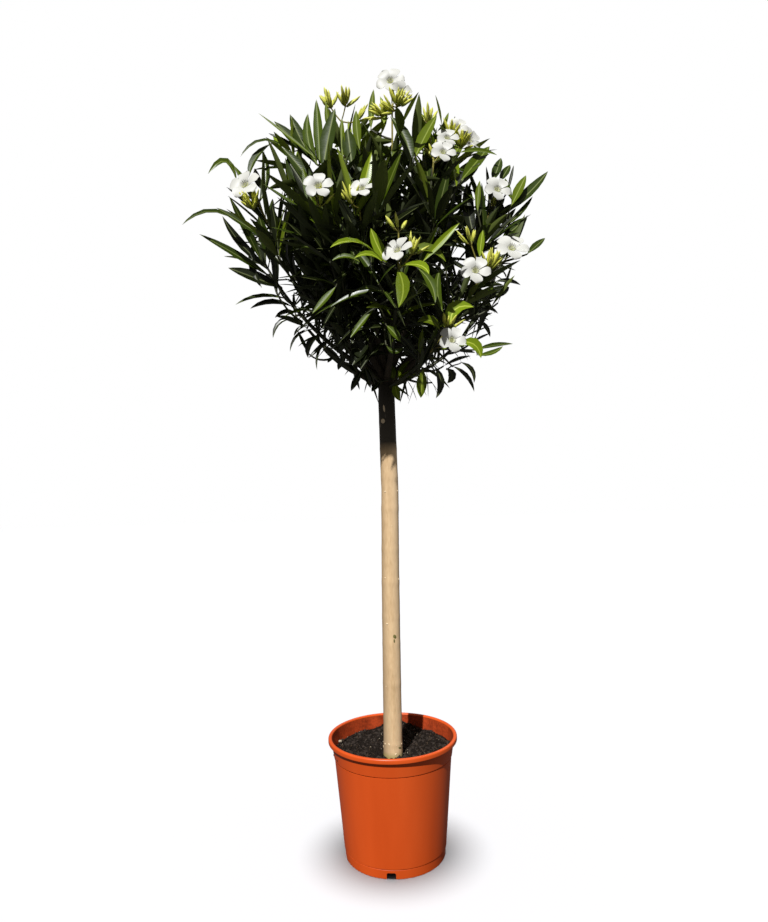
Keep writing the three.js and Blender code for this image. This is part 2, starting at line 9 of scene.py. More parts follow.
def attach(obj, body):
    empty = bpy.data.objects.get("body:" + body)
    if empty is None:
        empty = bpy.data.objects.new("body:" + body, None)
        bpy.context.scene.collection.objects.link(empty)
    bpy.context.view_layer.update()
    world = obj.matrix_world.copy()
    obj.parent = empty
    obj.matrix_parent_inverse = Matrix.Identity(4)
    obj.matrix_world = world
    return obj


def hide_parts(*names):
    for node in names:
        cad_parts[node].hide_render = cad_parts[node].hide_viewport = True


# A white oleander grown as a standard, in its nursery pot. Lengths in the tables are millimetres.
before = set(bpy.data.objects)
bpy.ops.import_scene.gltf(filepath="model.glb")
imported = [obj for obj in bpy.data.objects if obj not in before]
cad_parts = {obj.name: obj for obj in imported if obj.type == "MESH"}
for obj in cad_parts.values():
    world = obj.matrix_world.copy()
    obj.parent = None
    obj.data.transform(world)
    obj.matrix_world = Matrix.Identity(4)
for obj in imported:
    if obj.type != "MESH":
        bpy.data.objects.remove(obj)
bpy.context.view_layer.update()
scene = bpy.context.scene
mm = 0.001
up = Vector((0, 0, 1))
east = Vector((1, 0, 0))
golden = math.radians(137.5)
anySpin = 6.28
rootBody = "root"
nodeNames = sorted(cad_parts)
massNodes = [name for name in nodeNames if name.startswith("foliage_")]
boughNodes = [name for name in nodeNames if name.startswith("bough_")]


def mix(low, high, share):
    return low + (high - low) * share


def clamp(value, low=0.0, high=1.0):
    return max(low, min(high, value))


def smoothStep(value, low, high):
    share = clamp((value - low) / (high - low))
    return share * share * (3 - 2 * share)


def seeded(seed):
    # the same chain of numbers as the solid crown grows by
    state = [seed % 2 ** 32]

    def roll():
        state[0] = (state[0] * 1664525 + 1013904223) % 2 ** 32
        return state[0] / 2 ** 32

    return roll


def addNode(tree, kind, sockets=None, **settings):
    made = tree.nodes.new(kind)
    for key, value in settings.items():
        setattr(made, key, value)
    for name, value in (sockets or {}).items():
        if isinstance(value, bpy.types.NodeSocket):
            tree.links.new(value, made.inputs[name])
        else:
            made.inputs[name].default_value = value
    return made


def outOf(tree, kind, sockets=None, **settings):
    # a new node's first output
    return addNode(tree, kind, sockets, **settings).outputs[0]


def calc(tree, operation, *values):
    return outOf(tree, "ShaderNodeMath", dict(enumerate(values)), operation=operation)


def mixColor(tree, share, one, two):
    return addNode(tree, "ShaderNodeMix", {0: share, 6: one, 7: two}, data_type="RGBA").outputs[2]


def newTree(name, inputs):
    tree = bpy.data.node_groups.new(name, "GeometryNodeTree")
    tree.interface.new_socket(name="Geometry", in_out="INPUT", socket_type="NodeSocketGeometry")
    for label, kind, value in inputs:
        socket = tree.interface.new_socket(name=label, in_out="INPUT", socket_type="NodeSocket" + kind)
        if value is not None:
            socket.default_value = value
    tree.interface.new_socket(name="Geometry", in_out="OUTPUT", socket_type="NodeSocketGeometry")
    return tree, addNode(tree, "NodeGroupInput").outputs


def endTree(tree, geometry, finish=None):
    if finish:
        geometry = outOf(tree, "GeometryNodeSetMaterial", {"Geometry": geometry, "Material": finish})
    addNode(tree, "NodeGroupOutput", {"Geometry": geometry})
    return tree


def attributeOf(tree, name, kind="FLOAT"):
    made = addNode(tree, "GeometryNodeInputNamedAttribute", {"Name": name}, data_type=kind)
    return made.outputs["Attribute"]


def newObject(name, data):
    obj = bpy.data.objects.new(name, data)
    scene.collection.objects.link(obj)
    return obj


def meshOf(work, name):
    # a mesh from a finished bmesh
    mesh = bpy.data.meshes.new(name)
    work.to_mesh(mesh)
    work.free()
    return mesh


def setValues(mesh, name, kind, values, domain="POINT"):
    field = "vector" if kind == "FLOAT_VECTOR" else "value"
    mesh.attributes.new(name, kind, domain).data.foreach_set(field, values)


def applied(obj, modifier):
    # the object keeps what the modifier makes of its mesh
    mesh = bpy.data.meshes.new_from_object(obj.evaluated_get(bpy.context.evaluated_depsgraph_get()))
    obj.modifiers.remove(modifier)
    obj.data = mesh
    return mesh


def grown(obj, tree, values):
    # runs a tree on an object once and keeps the result as a plain mesh
    modifier = obj.modifiers.new(tree.name, "NODES")
    modifier.node_group = tree
    for item in tree.interface.items_tree:
        if item.item_type == "SOCKET" and item.in_out == "INPUT" and item.name in values:
            modifier[item.identifier] = values[item.name]
    mesh = applied(obj, modifier)
    keep = {"position", "sharp_edge", "sharp_face", "material_index", "UVMap"}
    for name in [a.name for a in mesh.attributes if a.name not in keep and not a.name.startswith(".")]:
        mesh.attributes.remove(mesh.attributes[name])
    return obj


def settle(obj, slot, *nodes):
    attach(obj, rootBody)
    if nodes:
        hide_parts(*nodes)
    print("made", obj.name, len(obj.data.polygons), "faces")
    return obj


def newMaterial(name, color, roughness, **uniform):
    material = bpy.data.materials.new(name)
    material.use_nodes = True
    tree = material.node_tree
    shader = tree.nodes["Principled BSDF"]
    shader.inputs["Base Color"].default_value = (*color, 1)
    shader.inputs["Roughness"].default_value = roughness
    for key, value in uniform.items():
        shader.inputs[key.replace("_", " ")].default_value = value
    return material, tree, shader


studio = {
    "cameraAt": (-2, -1480, 790),
    "pitchUp": 2.2,
    "roll": -1.6,
    "lens": 26.04,
    "sensor": 36,
    "nearest": 0.01,
    # each lamp's direction, strength and width in degrees
    "lamps": {
        "sun": ((-0.32, -0.94, 1.08), 4.5, 1),
        "back": ((0.5, 0.8, 1.1), 0.5, 30),
        "floor": ((0, -0.02, 1), 7.0, 35),
    },
    "skyStrength": 0.17,
    "skyColor": (1, 0.98, 0.95, 1),
    "floorSize": 30,
    "floorRoughness": 0.9,
    "floorColor": (0.42, 0.42, 0.43),
    "floorBounce": (0.042, 0.042, 0.042),
}
floorShades = bpy.data.collections.new("floorShades")


def makeStudio():
    camera = bpy.data.cameras.new("camera")
    camera.lens = studio["lens"]
    camera.sensor_width = studio["sensor"]
    camera.clip_start = studio["nearest"]
    holder = newObject("camera", camera)
    turn = Matrix.Rotation(math.radians(90 + studio["pitchUp"]), 4, "X") @ Matrix.Rotation(
        math.radians(studio["roll"]), 4, "Z")
    holder.matrix_world = Matrix.Translation(Vector(studio["cameraAt"]) * mm) @ turn
    scene.camera = holder
    bpy.ops.mesh.primitive_plane_add(size=studio["floorSize"], location=(0, 0, 0))
    floor = bpy.context.object
    floor.name = "paleFloor"
    for name, (source, strength, wide) in studio["lamps"].items():
        light = bpy.data.lights.new(name + "Light", "SUN")
        light.energy = strength
        light.angle = math.radians(wide)
        lamp = newObject(name + "Light", light)
        lamp.rotation_euler = Vector(source).to_track_quat("Z", "Y").to_euler()
        # the plant's lamps pass the floor by, which has a wide soft lamp of its own
        lit = bpy.data.collections.new(name + "Lit")
        lit.objects.link(floor)
        lit.collection_objects[0].light_linking.link_state = "INCLUDE" if name == "floor" else "EXCLUDE"
        lamp.light_linking.receiver_collection = lit
        if name == "floor":
            lamp.light_linking.blocker_collection = floorShades
    world = bpy.data.worlds.new("paleRoom")
    scene.world = world
    world.use_nodes = True
    tree = world.node_tree
    tree.nodes.clear()
    seen = outOf(tree, "ShaderNodeBackground", {"Color": (1, 1, 1, 1), "Strength": 1.0})
    sky = outOf(tree, "ShaderNodeBackground", {
        "Color": studio["skyColor"], "Strength": studio["skyStrength"]})
    direct = addNode(tree, "ShaderNodeLightPath").outputs["Is Camera Ray"]
    both = outOf(tree, "ShaderNodeMixShader", {0: direct, 1: sky, 2: seen})
    addNode(tree, "ShaderNodeOutputWorld", {"Surface": both})
    scene.view_settings.view_transform = "Standard"
    # the floor looks white, and throws little of its light back up at the plant
    white, tree, shader = newMaterial(
        "paleFloor", studio["floorColor"], studio["floorRoughness"], Specular_IOR_Level=0.0)
    direct = addNode(tree, "ShaderNodeLightPath").outputs["Is Camera Ray"]
    shade = mixColor(tree, direct, (*studio["floorBounce"], 1), (*studio["floorColor"], 1))
    tree.links.new(shade, shader.inputs["Base Color"])
    floor.data.materials.append(white)
    print("studio ready")


makeStudio()


mottleInputs = {"Patch Scale": 20.0, "Grain Scale": 200.0, "Stretch": 1.0, "Grain Share": 0.4}


def makeMottle():
    # soft patches over fine grain: a mask for colour and a height for bump
    group = bpy.data.node_groups.new("mottle", "ShaderNodeTree")
    ends = group.interface
    for label, value in mottleInputs.items():
        ends.new_socket(name=label, in_out="INPUT", socket_type="NodeSocketFloat").default_value = value
    for label in ("Mask", "Height"):
        ends.new_socket(name=label, in_out="OUTPUT", socket_type="NodeSocketFloat")
    given = addNode(group, "NodeGroupInput").outputs
    place = addNode(group, "ShaderNodeTexCoord").outputs["Object"]
    parts = addNode(group, "ShaderNodeSeparateXYZ", {0: place}).outputs
    tall = calc(group, "MULTIPLY", parts["Z"], given["Stretch"])
    drawn = outOf(group, "ShaderNodeCombineXYZ", {"X": parts["X"], "Y": parts["Y"], "Z": tall})
    patch, grain = (
        outOf(group, "ShaderNodeTexNoise", {"Vector": drawn, "Scale": given[label], "Detail": detail})
        for label, detail in (("Patch Scale", 3.0), ("Grain Scale", 2.0)))
    both = outOf(group, "ShaderNodeMix", {0: given["Grain Share"], 2: patch, 3: grain})
    addNode(group, "NodeGroupOutput", {"Mask": both, "Height": grain})
    return group


mottle = makeMottle()


def addMottle(tree, patch, grain, stretch=1.0, share=0.4):
    made = addNode(tree, "ShaderNodeGroup", node_tree=mottle)
    for label, value in zip(mottleInputs, (patch, grain, stretch, share)):
        made.inputs[label].default_value = value
    return made.outputs


def addRamp(tree, factor, stops):
    ramp = addNode(tree, "ShaderNodeValToRGB", {0: factor})
    line = ramp.color_ramp
    while len(line.elements) < len(stops):
        line.elements.new(0.5)
    for element, (place, color) in zip(line.elements, stops):
        element.position = place
        element.color = (*color, 1)
    return ramp.outputs[0]


def addBump(tree, shader, height, strength, distance):
    bump = outOf(tree, "ShaderNodeBump", {"Strength": strength, "Distance": distance, "Height": height})
    tree.links.new(bump, shader.inputs["Normal"])


def addRough(tree, shader, share, low, high):
    # smoother and rougher by patches
    rough = outOf(tree, "ShaderNodeMapRange", {0: share, 1: 0.3, 2: 0.7, 3: low, 4: high})
    tree.links.new(rough, shader.inputs["Roughness"])


def makeLeafFinish(name, color, roughness, gloss):
    # plain colour, with the fine slanting side veins in the bump
    material, tree, shader = newMaterial(name, color, roughness, Specular_IOR_Level=gloss)
    veins = addNode(tree, "ShaderNodeTexWave", {
        "Vector": outOf(tree, "ShaderNodeUVMap", uv_map="UVMap"), "Scale": 22.0, "Distortion": 0.6},
        bands_direction="DIAGONAL")
    addBump(tree, shader, veins.outputs["Fac"], 0.12, 0.0004)
    addRough(tree, shader, addMottle(tree, 60.0, 300.0)["Mask"], roughness - 0.06, roughness + 0.08)
    return material


# blade, midrib and underside of each leaf tone; the tones stand partly for the leaves' age and partly for
# painted light and shade, the deep tone nearly black as painted shade in the heart of the crown
leafTones = {
    "deep": ((0.009, 0.013, 0.002), (0.090, 0.105, 0.030), (0.045, 0.056, 0.018)),
    "mature": ((0.028, 0.047, 0.003), (0.130, 0.160, 0.034), (0.085, 0.108, 0.030)),
    "mid": ((0.056, 0.088, 0.004), (0.170, 0.215, 0.034), (0.120, 0.152, 0.034)),
    "olive": ((0.098, 0.138, 0.006), (0.210, 0.260, 0.030), (0.150, 0.190, 0.040)),
    "young": ((0.170, 0.245, 0.009), (0.390, 0.460, 0.050), (0.270, 0.350, 0.036)),
}
leafGloss = {"deep": 0.42, "mature": 0.26, "mid": 0.18, "olive": 0.18, "young": 0.18}
leafRoughness = (0.28, 0.5, 0.62)
leafFinish = {
    leafTone: [
        makeLeafFinish(leafTone + part, tint, roughness, leafGloss[leafTone])
        for part, tint, roughness in zip(("Blade", "Midrib", "Underside"), tints, leafRoughness)
    ]
    for leafTone, tints in leafTones.items()
}


def makeBark(name, low, middle, high, tints=()):
    # tints are (direction, place where the tint is full, place where it has gone, colour); on the stem some
    # are the bark's own tone and some are painted light and shade
    material, tree, shader = newMaterial(name, middle, 0.62, Specular_IOR_Level=0.25)
    skin = addMottle(tree, 26.0, 260.0, 0.28, 0.42)
    color = addRamp(tree, skin["Mask"], ((0.32, low), (0.5, middle), (0.68, high)))
    place = addNode(tree, "ShaderNodeTexCoord").outputs["Object"]
    parts = addNode(tree, "ShaderNodeSeparateXYZ", {0: place}).outputs
    for direction, full, gone, tint in tints:
        near = outOf(tree, "ShaderNodeMapRange", {
            0: parts[direction], 1: gone * mm, 2: full * mm, 3: 0.0, 4: 1.0})
        color = mixColor(tree, near, color, (*tint, 1))
    tree.links.new(color, shader.inputs["Base Color"])
    addRough(tree, shader, skin["Height"], 0.52, 0.72)
    addBump(tree, shader, skin["Height"], 0.25, 0.0006)
    return material


def makePlain(name, color, roughness, spread=0.12, patch=90.0, grain=500.0, bump=0.1, **uniform):
    # one colour that wanders a little lighter and darker
    material, tree, shader = newMaterial(name, color, roughness, **uniform)
    spots = addMottle(tree, patch, grain)
    dark = tuple(c * (1 - spread) for c in color)
    light = tuple(min(1.0, c * (1 + spread)) for c in color)
    tree.links.new(addRamp(tree, spots["Mask"], ((0.35, dark), (0.65, light))), shader.inputs["Base Color"])
    addBump(tree, shader, spots["Height"], bump, 0.0004)
    return material


stemBarkWithPaintedLight = makeBark(
    "stemBark", (0.57, 0.385, 0.20), (0.71, 0.49, 0.272), (0.81, 0.59, 0.34),
    # the X tints paint the stem lighter on its right side, as light falling from that side, and darker on its
    # left; the first Z tint is the green of the stem's foot
    (("X", -24, 1, (0.33, 0.23, 0.135)), ("X", 27, 7, (1.0, 0.73, 0.45)), ("Z", 218, 232, (0.30, 0.26, 0.08)),
     # these two Z tints are the crown's shadow, painted all round the top of the stem
     ("Z", 886, 864, (0.085, 0.070, 0.052)), ("Z", 990, 900, (0.04, 0.032, 0.023))))
nubAndFleckFinish = makePlain("barkNubAndPaintedFleck", (0.80, 0.62, 0.40), 0.6, 0.1)
scarFinish = makePlain("barkScar", (0.17, 0.15, 0.04), 0.7, 0.4)
# the boughs' bark is painted far darker than the stem's, as painted shade for the heart of the crown
limbBarkPaintedShade = makeBark("limbBarkWithPaintedShade", (0.035, 0.027, 0.018), (0.060, 0.046, 0.030), (0.10, 0.078, 0.050))
twigFinish = makePlain("twigSkin", (0.045, 0.047, 0.017), 0.55, 0.25)
stalkFinish = makePlain("flowerStalk", (0.30, 0.26, 0.05), 0.5, 0.2)
petalFinish = makePlain("petal", (0.60, 0.597, 0.55), 0.5, 0.03, 120.0, 400.0, 0.08)
throatFinish = makePlain("throat", (0.66, 0.67, 0.42), 0.5, 0.08)
budFinish = makePlain("bud", (0.66, 0.66, 0.10), 0.5, 0.2)
calyxFinish = makePlain("calyx", (0.40, 0.44, 0.05), 0.5, 0.2)
crumbFinish = makePlain(
    "peatCrumb", (0.015, 0.0105, 0.008), 0.9, spread=0.6, patch=300.0, grain=900.0, bump=0.4,
    Specular_IOR_Level=0.1)
soilFinish = makePlain(
    "pottingMix", (0.011, 0.008, 0.006), 0.95, spread=0.5, patch=200.0, grain=700.0, bump=0.6,
    Specular_IOR_Level=0.1)
lumpFinish = makePlain(
    "peatLump", (0.033, 0.025, 0.020), 0.9, spread=0.6, patch=220.0, grain=900.0, bump=0.4,
    Specular_IOR_Level=0.15)
chipFinish = makePlain("barkChip", (0.055, 0.038, 0.024), 0.85, 0.4, Specular_IOR_Level=0.15)
fleckFinish = makePlain("paleFleck", (0.42, 0.36, 0.26), 0.8, 0.25)


def makePotFinish():
    material, tree, shader = newMaterial("pressedPlastic", (0.68, 0.085, 0.010), 0.4, Specular_IOR_Level=0.4)
    flow = addMottle(tree, 11.0, 900.0, 0.14, 0.10)
    tones = ((0.3, (0.61, 0.074, 0.008)), (0.5, (0.68, 0.086, 0.010)), (0.7, (0.74, 0.102, 0.014)))
    tree.links.new(addRamp(tree, flow["Mask"], tones), shader.inputs["Base Color"])
    addRough(tree, shader, flow["Mask"], 0.34, 0.46)
    addBump(tree, shader, flow["Height"], 0.05, 0.0003)
    return material


potFinish = makePotFinish()
# a darker plastic for the inside of the pot: soil dust and painted shade
dustAndShadeFinish = makePlain(
    "dustedPlasticWithPaintedShade", (0.32, 0.042, 0.010), 0.7, spread=0.45, patch=30.0, grain=220.0, bump=0.2,
    Specular_IOR_Level=0.1)
# near-black painted shade for the hollow under the lip
underLipPaintedShade = makePlain(
    "underLipShadePlastic", (0.06, 0.012, 0.006), 0.8, spread=0.3, patch=30.0, grain=220.0, bump=0.2,
    Specular_IOR_Level=0.1)


# the pot, by its radii and heights
pot = {
    "rim": 140, "height": 250, "wall": 2, "lipHeight": 10, "lipWidth": 8, "lipRound": 3.4,
    "bandTop": 133, "bandFoot": 128.4, "bandHeight": 30.5, "step": 1.4,
    "bodyFoot": 110.4, "footTop": 109.2, "foot": 107.2, "footHeight": 20, "footWall": 5,
    "floor": 9.5, "floorWall": 2.5, "padRadius": 38, "padSlope": 8,
    "sides": 128, "notches": 4, "notchWidth": 19, "notchDepth": 26, "notchHeight": 13, "notchBearing": -95.5,
    "notchRound": 1.6,
}


def ringOf(work, radius, height, sides):
    turns = (2 * math.pi * k / sides for k in range(sides))
    return [
        work.verts.new((radius * mm * math.cos(a), radius * mm * math.sin(a), height * mm)) for a in turns]


def lathe(name, profile, sides, closed=True):
    # turns an outline of (radius, height) round the upright axis; radius 0 makes a pole
    work = bmesh.new()
    rings = [
        ringOf(work, radius, height, sides) if radius > 1e-6 else [work.verts.new((0, 0, height * mm))]
        for radius, height in profile
    ]
    pairs = list(zip(rings, rings[1:])) + ([(rings[-1], rings[0])] if closed else [])
    for one, two in pairs:
        for k in range(sides):
            n = (k + 1) % sides
            corners = [one[k % len(one)], one[n % len(one)], two[n % len(two)], two[k % len(two)]]
            corners = list(dict.fromkeys(corners))
            if len(corners) > 2:
                work.faces.new(corners)
    bmesh.ops.recalc_face_normals(work, faces=work.faces)
    return meshOf(work, name)


def arc(center, radius, start, end, steps):
    return [
        (center[0] + radius * math.cos(a), center[1] + radius * math.sin(a))
        for a in (math.radians(mix(start, end, k / steps)) for k in range(steps + 1))
    ]


def potProfile():
    rim, top, wall, step, edge = (pot[key] for key in ("rim", "height", "wall", "step", "lipRound"))
    bandTop, bandFoot, bodyFoot = (pot[key] for key in ("bandTop", "bandFoot", "bodyFoot"))
    foot, footTop, footHeight, floor = (pot[key] for key in ("foot", "footTop", "footHeight", "floor"))
    lipFoot = top - pot["lipHeight"]
    underBand = lipFoot - pot["bandHeight"]
    bodyTop = bandFoot - step
    inner = rim - pot["lipWidth"]
    floorTop = floor + pot["floorWall"]
    padEdge = pot["padRadius"] + pot["padSlope"]
    footIn, floorIn = foot - pot["footWall"], footTop - pot["footWall"]
    outer = [
        (foot, 0), (foot + 0.6, 0.6), (footTop, footHeight - 2), (footTop - 1.1, footHeight - 1),
        (footTop - 1.1, footHeight), (bodyFoot, footHeight + 0.5)]
    outer += [
        (mix(bodyFoot, bodyTop, k / 6), mix(footHeight + 0.5, underBand - 2.2, k / 6)) for k in range(1, 7)]
    # a fine groove under the band, and the hollow behind the turned-down lip
    outer += [
        (bodyTop - 1, underBand - 1.8), (bodyTop - 1, underBand - 0.2), (bandFoot, underBand + 0.4),
        (bandTop - 0.3, lipFoot - 2.4), (bandTop - 0.9, lipFoot - 1.6), (bandTop - 0.9, lipFoot + 5.4),
        (rim - 3.4, lipFoot + 5.8), (rim - 2.6, lipFoot + 1.2)]
    outer += arc((rim - 1.3, lipFoot + 1.3), 1.3, -90, 0, 4)
    outer += arc((rim - edge, top - edge), edge, 0, 90, 7)
    outer += arc((inner + edge, top - edge), edge, 90, 180, 7)
    inside = [
        (bandTop - wall, lipFoot - 3), (bandFoot - wall, underBand + 1.5), (bodyTop - wall, underBand - 2),
        (bodyFoot - wall, footHeight + 0.5), (footTop - wall - 0.6, footHeight - 2),
        (floorIn, floorTop + 1.0), (floorIn - 1.5, floorTop), (padEdge, floorTop), (0, floorTop)]
    under = [(0, floor), (padEdge, floor), (footIn - 1, floor), (footIn, floor - 1), (footIn, 0)]
    return outer + inside + under


def makePot():
    body = newObject("potShell", lathe("potShell", potProfile(), pot["sides"]))
    cutters = bmesh.new()
    deep, wide, high = pot["notchDepth"], pot["notchWidth"], pot["notchHeight"]
    for k in range(pot["notches"]):
        bearing = math.radians(pot["notchBearing"] + 360 * k / pot["notches"])
        place = Matrix.Rotation(bearing, 4, "Z") @ Matrix.Translation(
            ((pot["foot"] - deep / 2 + 6) * mm, 0, (high / 2 - 3) * mm))
        size = Matrix.Diagonal((deep * mm, wide * mm, (high + 6) * mm, 1))
        bmesh.ops.create_cube(cutters, size=1, matrix=place @ size)
    bmesh.ops.bevel(
        cutters, geom=list(cutters.edges), offset=pot["notchRound"] * mm, segments=2, affect="EDGES")
    cutter = newObject("notchCutters", meshOf(cutters, "notchCutters"))
    cut = body.modifiers.new("notches", "BOOLEAN")
    cut.operation = "DIFFERENCE"
    cut.solver = "EXACT"
    cut.object = cutter
    mesh = applied(body, cut)
    bpy.data.objects.remove(cutter)
    mesh.materials.clear()
    for finish in (potFinish, dustAndShadeFinish, underLipPaintedShade):
        mesh.materials.append(finish)
    lipFoot = pot["height"] - pot["lipHeight"]
    for face in mesh.polygons:
        x, y, z = face.center
        away = face.center.xy.length
        inward = face.normal.x * x + face.normal.y * y < -0.3 * away
        # the inside wall takes the darker plastic, soil dust and painted shade
        if inward and pot["footHeight"] * mm < z < (lipFoot + 4) * mm:
            face.material_index = 1
        # the hollow under the lip takes the near-black painted shade
        if not inward and away < (pot["bandTop"] - 0.5) * mm and z > (lipFoot - 2.2) * mm:
            face.material_index = 2
    mesh.shade_smooth()
    mesh.set_sharp_from_angle(angle=math.radians(35))
    floorShades.objects.link(body)
    settle(body, "pot", "pot")


makePot()


soil = {
    "height": 221, "fall": 0.012, "lumps": 1.3, "waves": (0.061, 0.047, 0.11, 0.093), "gap": 0.5,
    "rings": 44, "around": 120, "rough": 3.0,
    "heap": {"x": 8, "y": 118, "reach": 64, "height": 16},
}


def wallRadiusAt(height):
    # inside of the pot's wall
    low, high = pot["footHeight"], pot["height"] - pot["lipHeight"] - pot["bandHeight"]
    foot, top = pot["bodyFoot"] - pot["wall"], pot["bandFoot"] - pot["step"] - pot["wall"]
    if height <= high:
        return mix(foot, top, clamp((height - low) / (high - low)))
    return mix(pot["bandFoot"], pot["bandTop"], (height - high) / pot["bandHeight"]) - pot["wall"]


def soilHeight(x, y):
    a, b, c, d = soil["waves"]
    wave = math.sin(a * x + 1.3) * math.cos(b * y) + 0.6 * math.sin(c * x - d * y + 0.4)
    heap = soil["heap"]
    heaped = heap["height"] * (1 - smoothStep(math.hypot(x - heap["x"], y - heap["y"]), 0, heap["reach"]))
    return soil["height"] + soil["fall"] * x + soil["lumps"] * wave + heaped


def makeSoil():
    work = bmesh.new()
    count = soil["around"]
    dice = np.random.default_rng(41)
    edge = wallRadiusAt(soil["height"] - 3) - soil["gap"]
    rings = []
    for i in range(soil["rings"], 0, -1):
        radius = edge * i / soil["rings"]
        calm = 0.3 + 0.7 * clamp((edge - radius) / 6)
        ring = []
        for k in range(count):
            a = 2 * math.pi * k / count
            x, y = radius * math.cos(a), radius * math.sin(a)
            z = soilHeight(x, y) - 1.5 + soil["rough"] * float(dice.uniform(-1, 1)) * calm
            ring.append(work.verts.new((x * mm, y * mm, z * mm)))
        rings.append(ring)
    middle = work.verts.new((0, 0, soilHeight(0, 0) * mm))
    floorHeight = pot["floor"] + pot["floorWall"] + soil["gap"]
    lower = []
    for height in (150, 80, pot["footHeight"] + 4, floorHeight):
        radius = wallRadiusAt(height) - soil["gap"] - (3.4 if height == floorHeight else 0)
        lower.append(ringOf(work, radius, height, count))
    bottom = work.verts.new((0, 0, floorHeight * mm))
    stack = rings[::-1] + lower
    for one, two in zip(stack, stack[1:]):
        for k in range(count):
            n = (k + 1) % count
            work.faces.new((one[k], one[n], two[n], two[k]))
    for k in range(count):
        n = (k + 1) % count
        work.faces.new((middle, stack[0][k], stack[0][n]))
        work.faces.new((bottom, stack[-1][n], stack[-1][k]))
    bmesh.ops.recalc_face_normals(work, faces=work.faces)
    bed = newObject("soilBed", meshOf(work, "soilBed"))
    bed.data.materials.append(soilFinish)
    bed.data.shade_smooth()
    floorShades.objects.link(bed)
    return settle(bed, "soil", "soil")


soilBed = makeSoil()


def crumbShape(name, seed, stretch):
    work = bmesh.new()
    bmesh.ops.create_icosphere(work, subdivisions=1, radius=0.5)
    dice = np.random.default_rng(seed)
    for vert in work.verts:
        vert.co = Vector([c * s for c, s in zip(vert.co * float(dice.uniform(0.7, 1.25)), stretch)])
    return newObject(name, meshOf(work, name))


def makeScatterTree():
    # strews one small shape over the upward faces of a bed
    tree, given = newTree("strewn", [
        ("Shape", "Object", None), ("Finish", "Material", None), ("Density", "Float", 1000.0),
        ("Seed", "Int", 1), ("Smallest", "Float", 0.002), ("Largest", "Float", 0.006),
        ("Reach", "Float", 0.12), ("Sink", "Float", 0.0)])
    normal, place = outOf(tree, "GeometryNodeInputNormal"), outOf(tree, "GeometryNodeInputPosition")
    upward = addNode(tree, "ShaderNodeSeparateXYZ", {0: normal}).outputs["Z"]
    across = outOf(tree, "ShaderNodeVectorMath", {0: place, 1: (1, 1, 0)}, operation="MULTIPLY")
    away = addNode(tree, "ShaderNodeVectorMath", {0: across}, operation="LENGTH").outputs["Value"]
    faces = outOf(tree, "FunctionNodeCompare", {0: upward, 1: 0.3}, operation="GREATER_THAN")
    within = outOf(tree, "FunctionNodeCompare", {0: away, 1: given["Reach"]}, operation="LESS_THAN")
    both = outOf(tree, "FunctionNodeBooleanMath", {0: faces, 1: within}, operation="AND")
    points = outOf(tree, "GeometryNodeDistributePointsOnFaces", {
        "Mesh": given["Geometry"], "Selection": both, "Density": given["Density"], "Seed": given["Seed"]})
    turn = outOf(tree, "FunctionNodeRandomValue", {
        0: (0, 0, 0), 1: (anySpin, anySpin, anySpin), "Seed": given["Seed"]}, data_type="FLOAT_VECTOR")
    size = addNode(tree, "FunctionNodeRandomValue", {
        2: given["Smallest"], 3: given["Largest"], "Seed": given["Seed"]}, data_type="FLOAT").outputs[1]
    shape = addNode(tree, "GeometryNodeObjectInfo", {"Object": given["Shape"]}).outputs["Geometry"]
    copies = outOf(tree, "GeometryNodeInstanceOnPoints", {
        "Points": points, "Instance": shape, "Rotation": turn, "Scale": size})
    real = outOf(tree, "GeometryNodeRealizeInstances", {"Geometry": copies})
    sink = outOf(tree, "ShaderNodeCombineXYZ", {"Z": given["Sink"]})
    lowered = outOf(tree, "GeometryNodeSetPosition", {"Geometry": real, "Offset": sink})
    return endTree(tree, lowered, given["Finish"])


strewn = makeScatterTree()


def strew(name, shape, finish, **values):
    holder = newObject(name, soilBed.data.copy())
    holder.data.materials.clear()
    reach = (wallRadiusAt(soil["height"]) - 3.5) * mm
    grown(holder, strewn, {"Shape": shape, "Finish": finish, "Reach": reach, **values})
    bpy.data.objects.remove(shape)
    settle(holder, "soil", "soil")


strew("soilCrumbs", crumbShape("crumb", 5, (1, 0.8, 0.65)), crumbFinish,
      Density=60000.0, Seed=3, Smallest=0.0022, Largest=0.0066)
strew("soilLumps", crumbShape("lump", 21, (1, 0.85, 0.6)), lumpFinish,
      Density=10000.0, Seed=17, Smallest=0.006, Largest=0.015, Sink=-0.002)
strew("soilChips", crumbShape("chip", 8, (1, 0.34, 0.2)), chipFinish,
      Density=3500.0, Seed=9, Smallest=0.005, Largest=0.012, Sink=0.001)
strew("soilFlecks", crumbShape("fleck", 12, (1, 0.8, 0.7)), fleckFinish,
      Density=1100.0, Seed=14, Smallest=0.0012, Largest=0.003, Sink=0.0014)


trunk = {
    "footY": -38, "footZ": 216, "flare": 21.9, "flareHeight": 34,
    "radius": 20.6, "forkRadius": 18.8, "headRadius": 14,
    "forkZ": 985, "headZ": 1086, "topY": -34, "skin": 0.8,
    "line": ((216, 0), (420, 2.5), (600, 5), (780, 9), (985, 7), (1086, 9)),
    # small swellings: height, how far out, how tall
    "knuckles": (
        (246, 0.6, 2.4), (300, 0.25, 7), (372, 0.35, 8), (455, 0.3, 7), (512, 0.25, 6), (585, 0.4, 8),
        (655, 0.3, 7), (742, 0.4, 8), (810, 0.25, 6), (872, 0.4, 8), (930, 0.3, 7)),
}

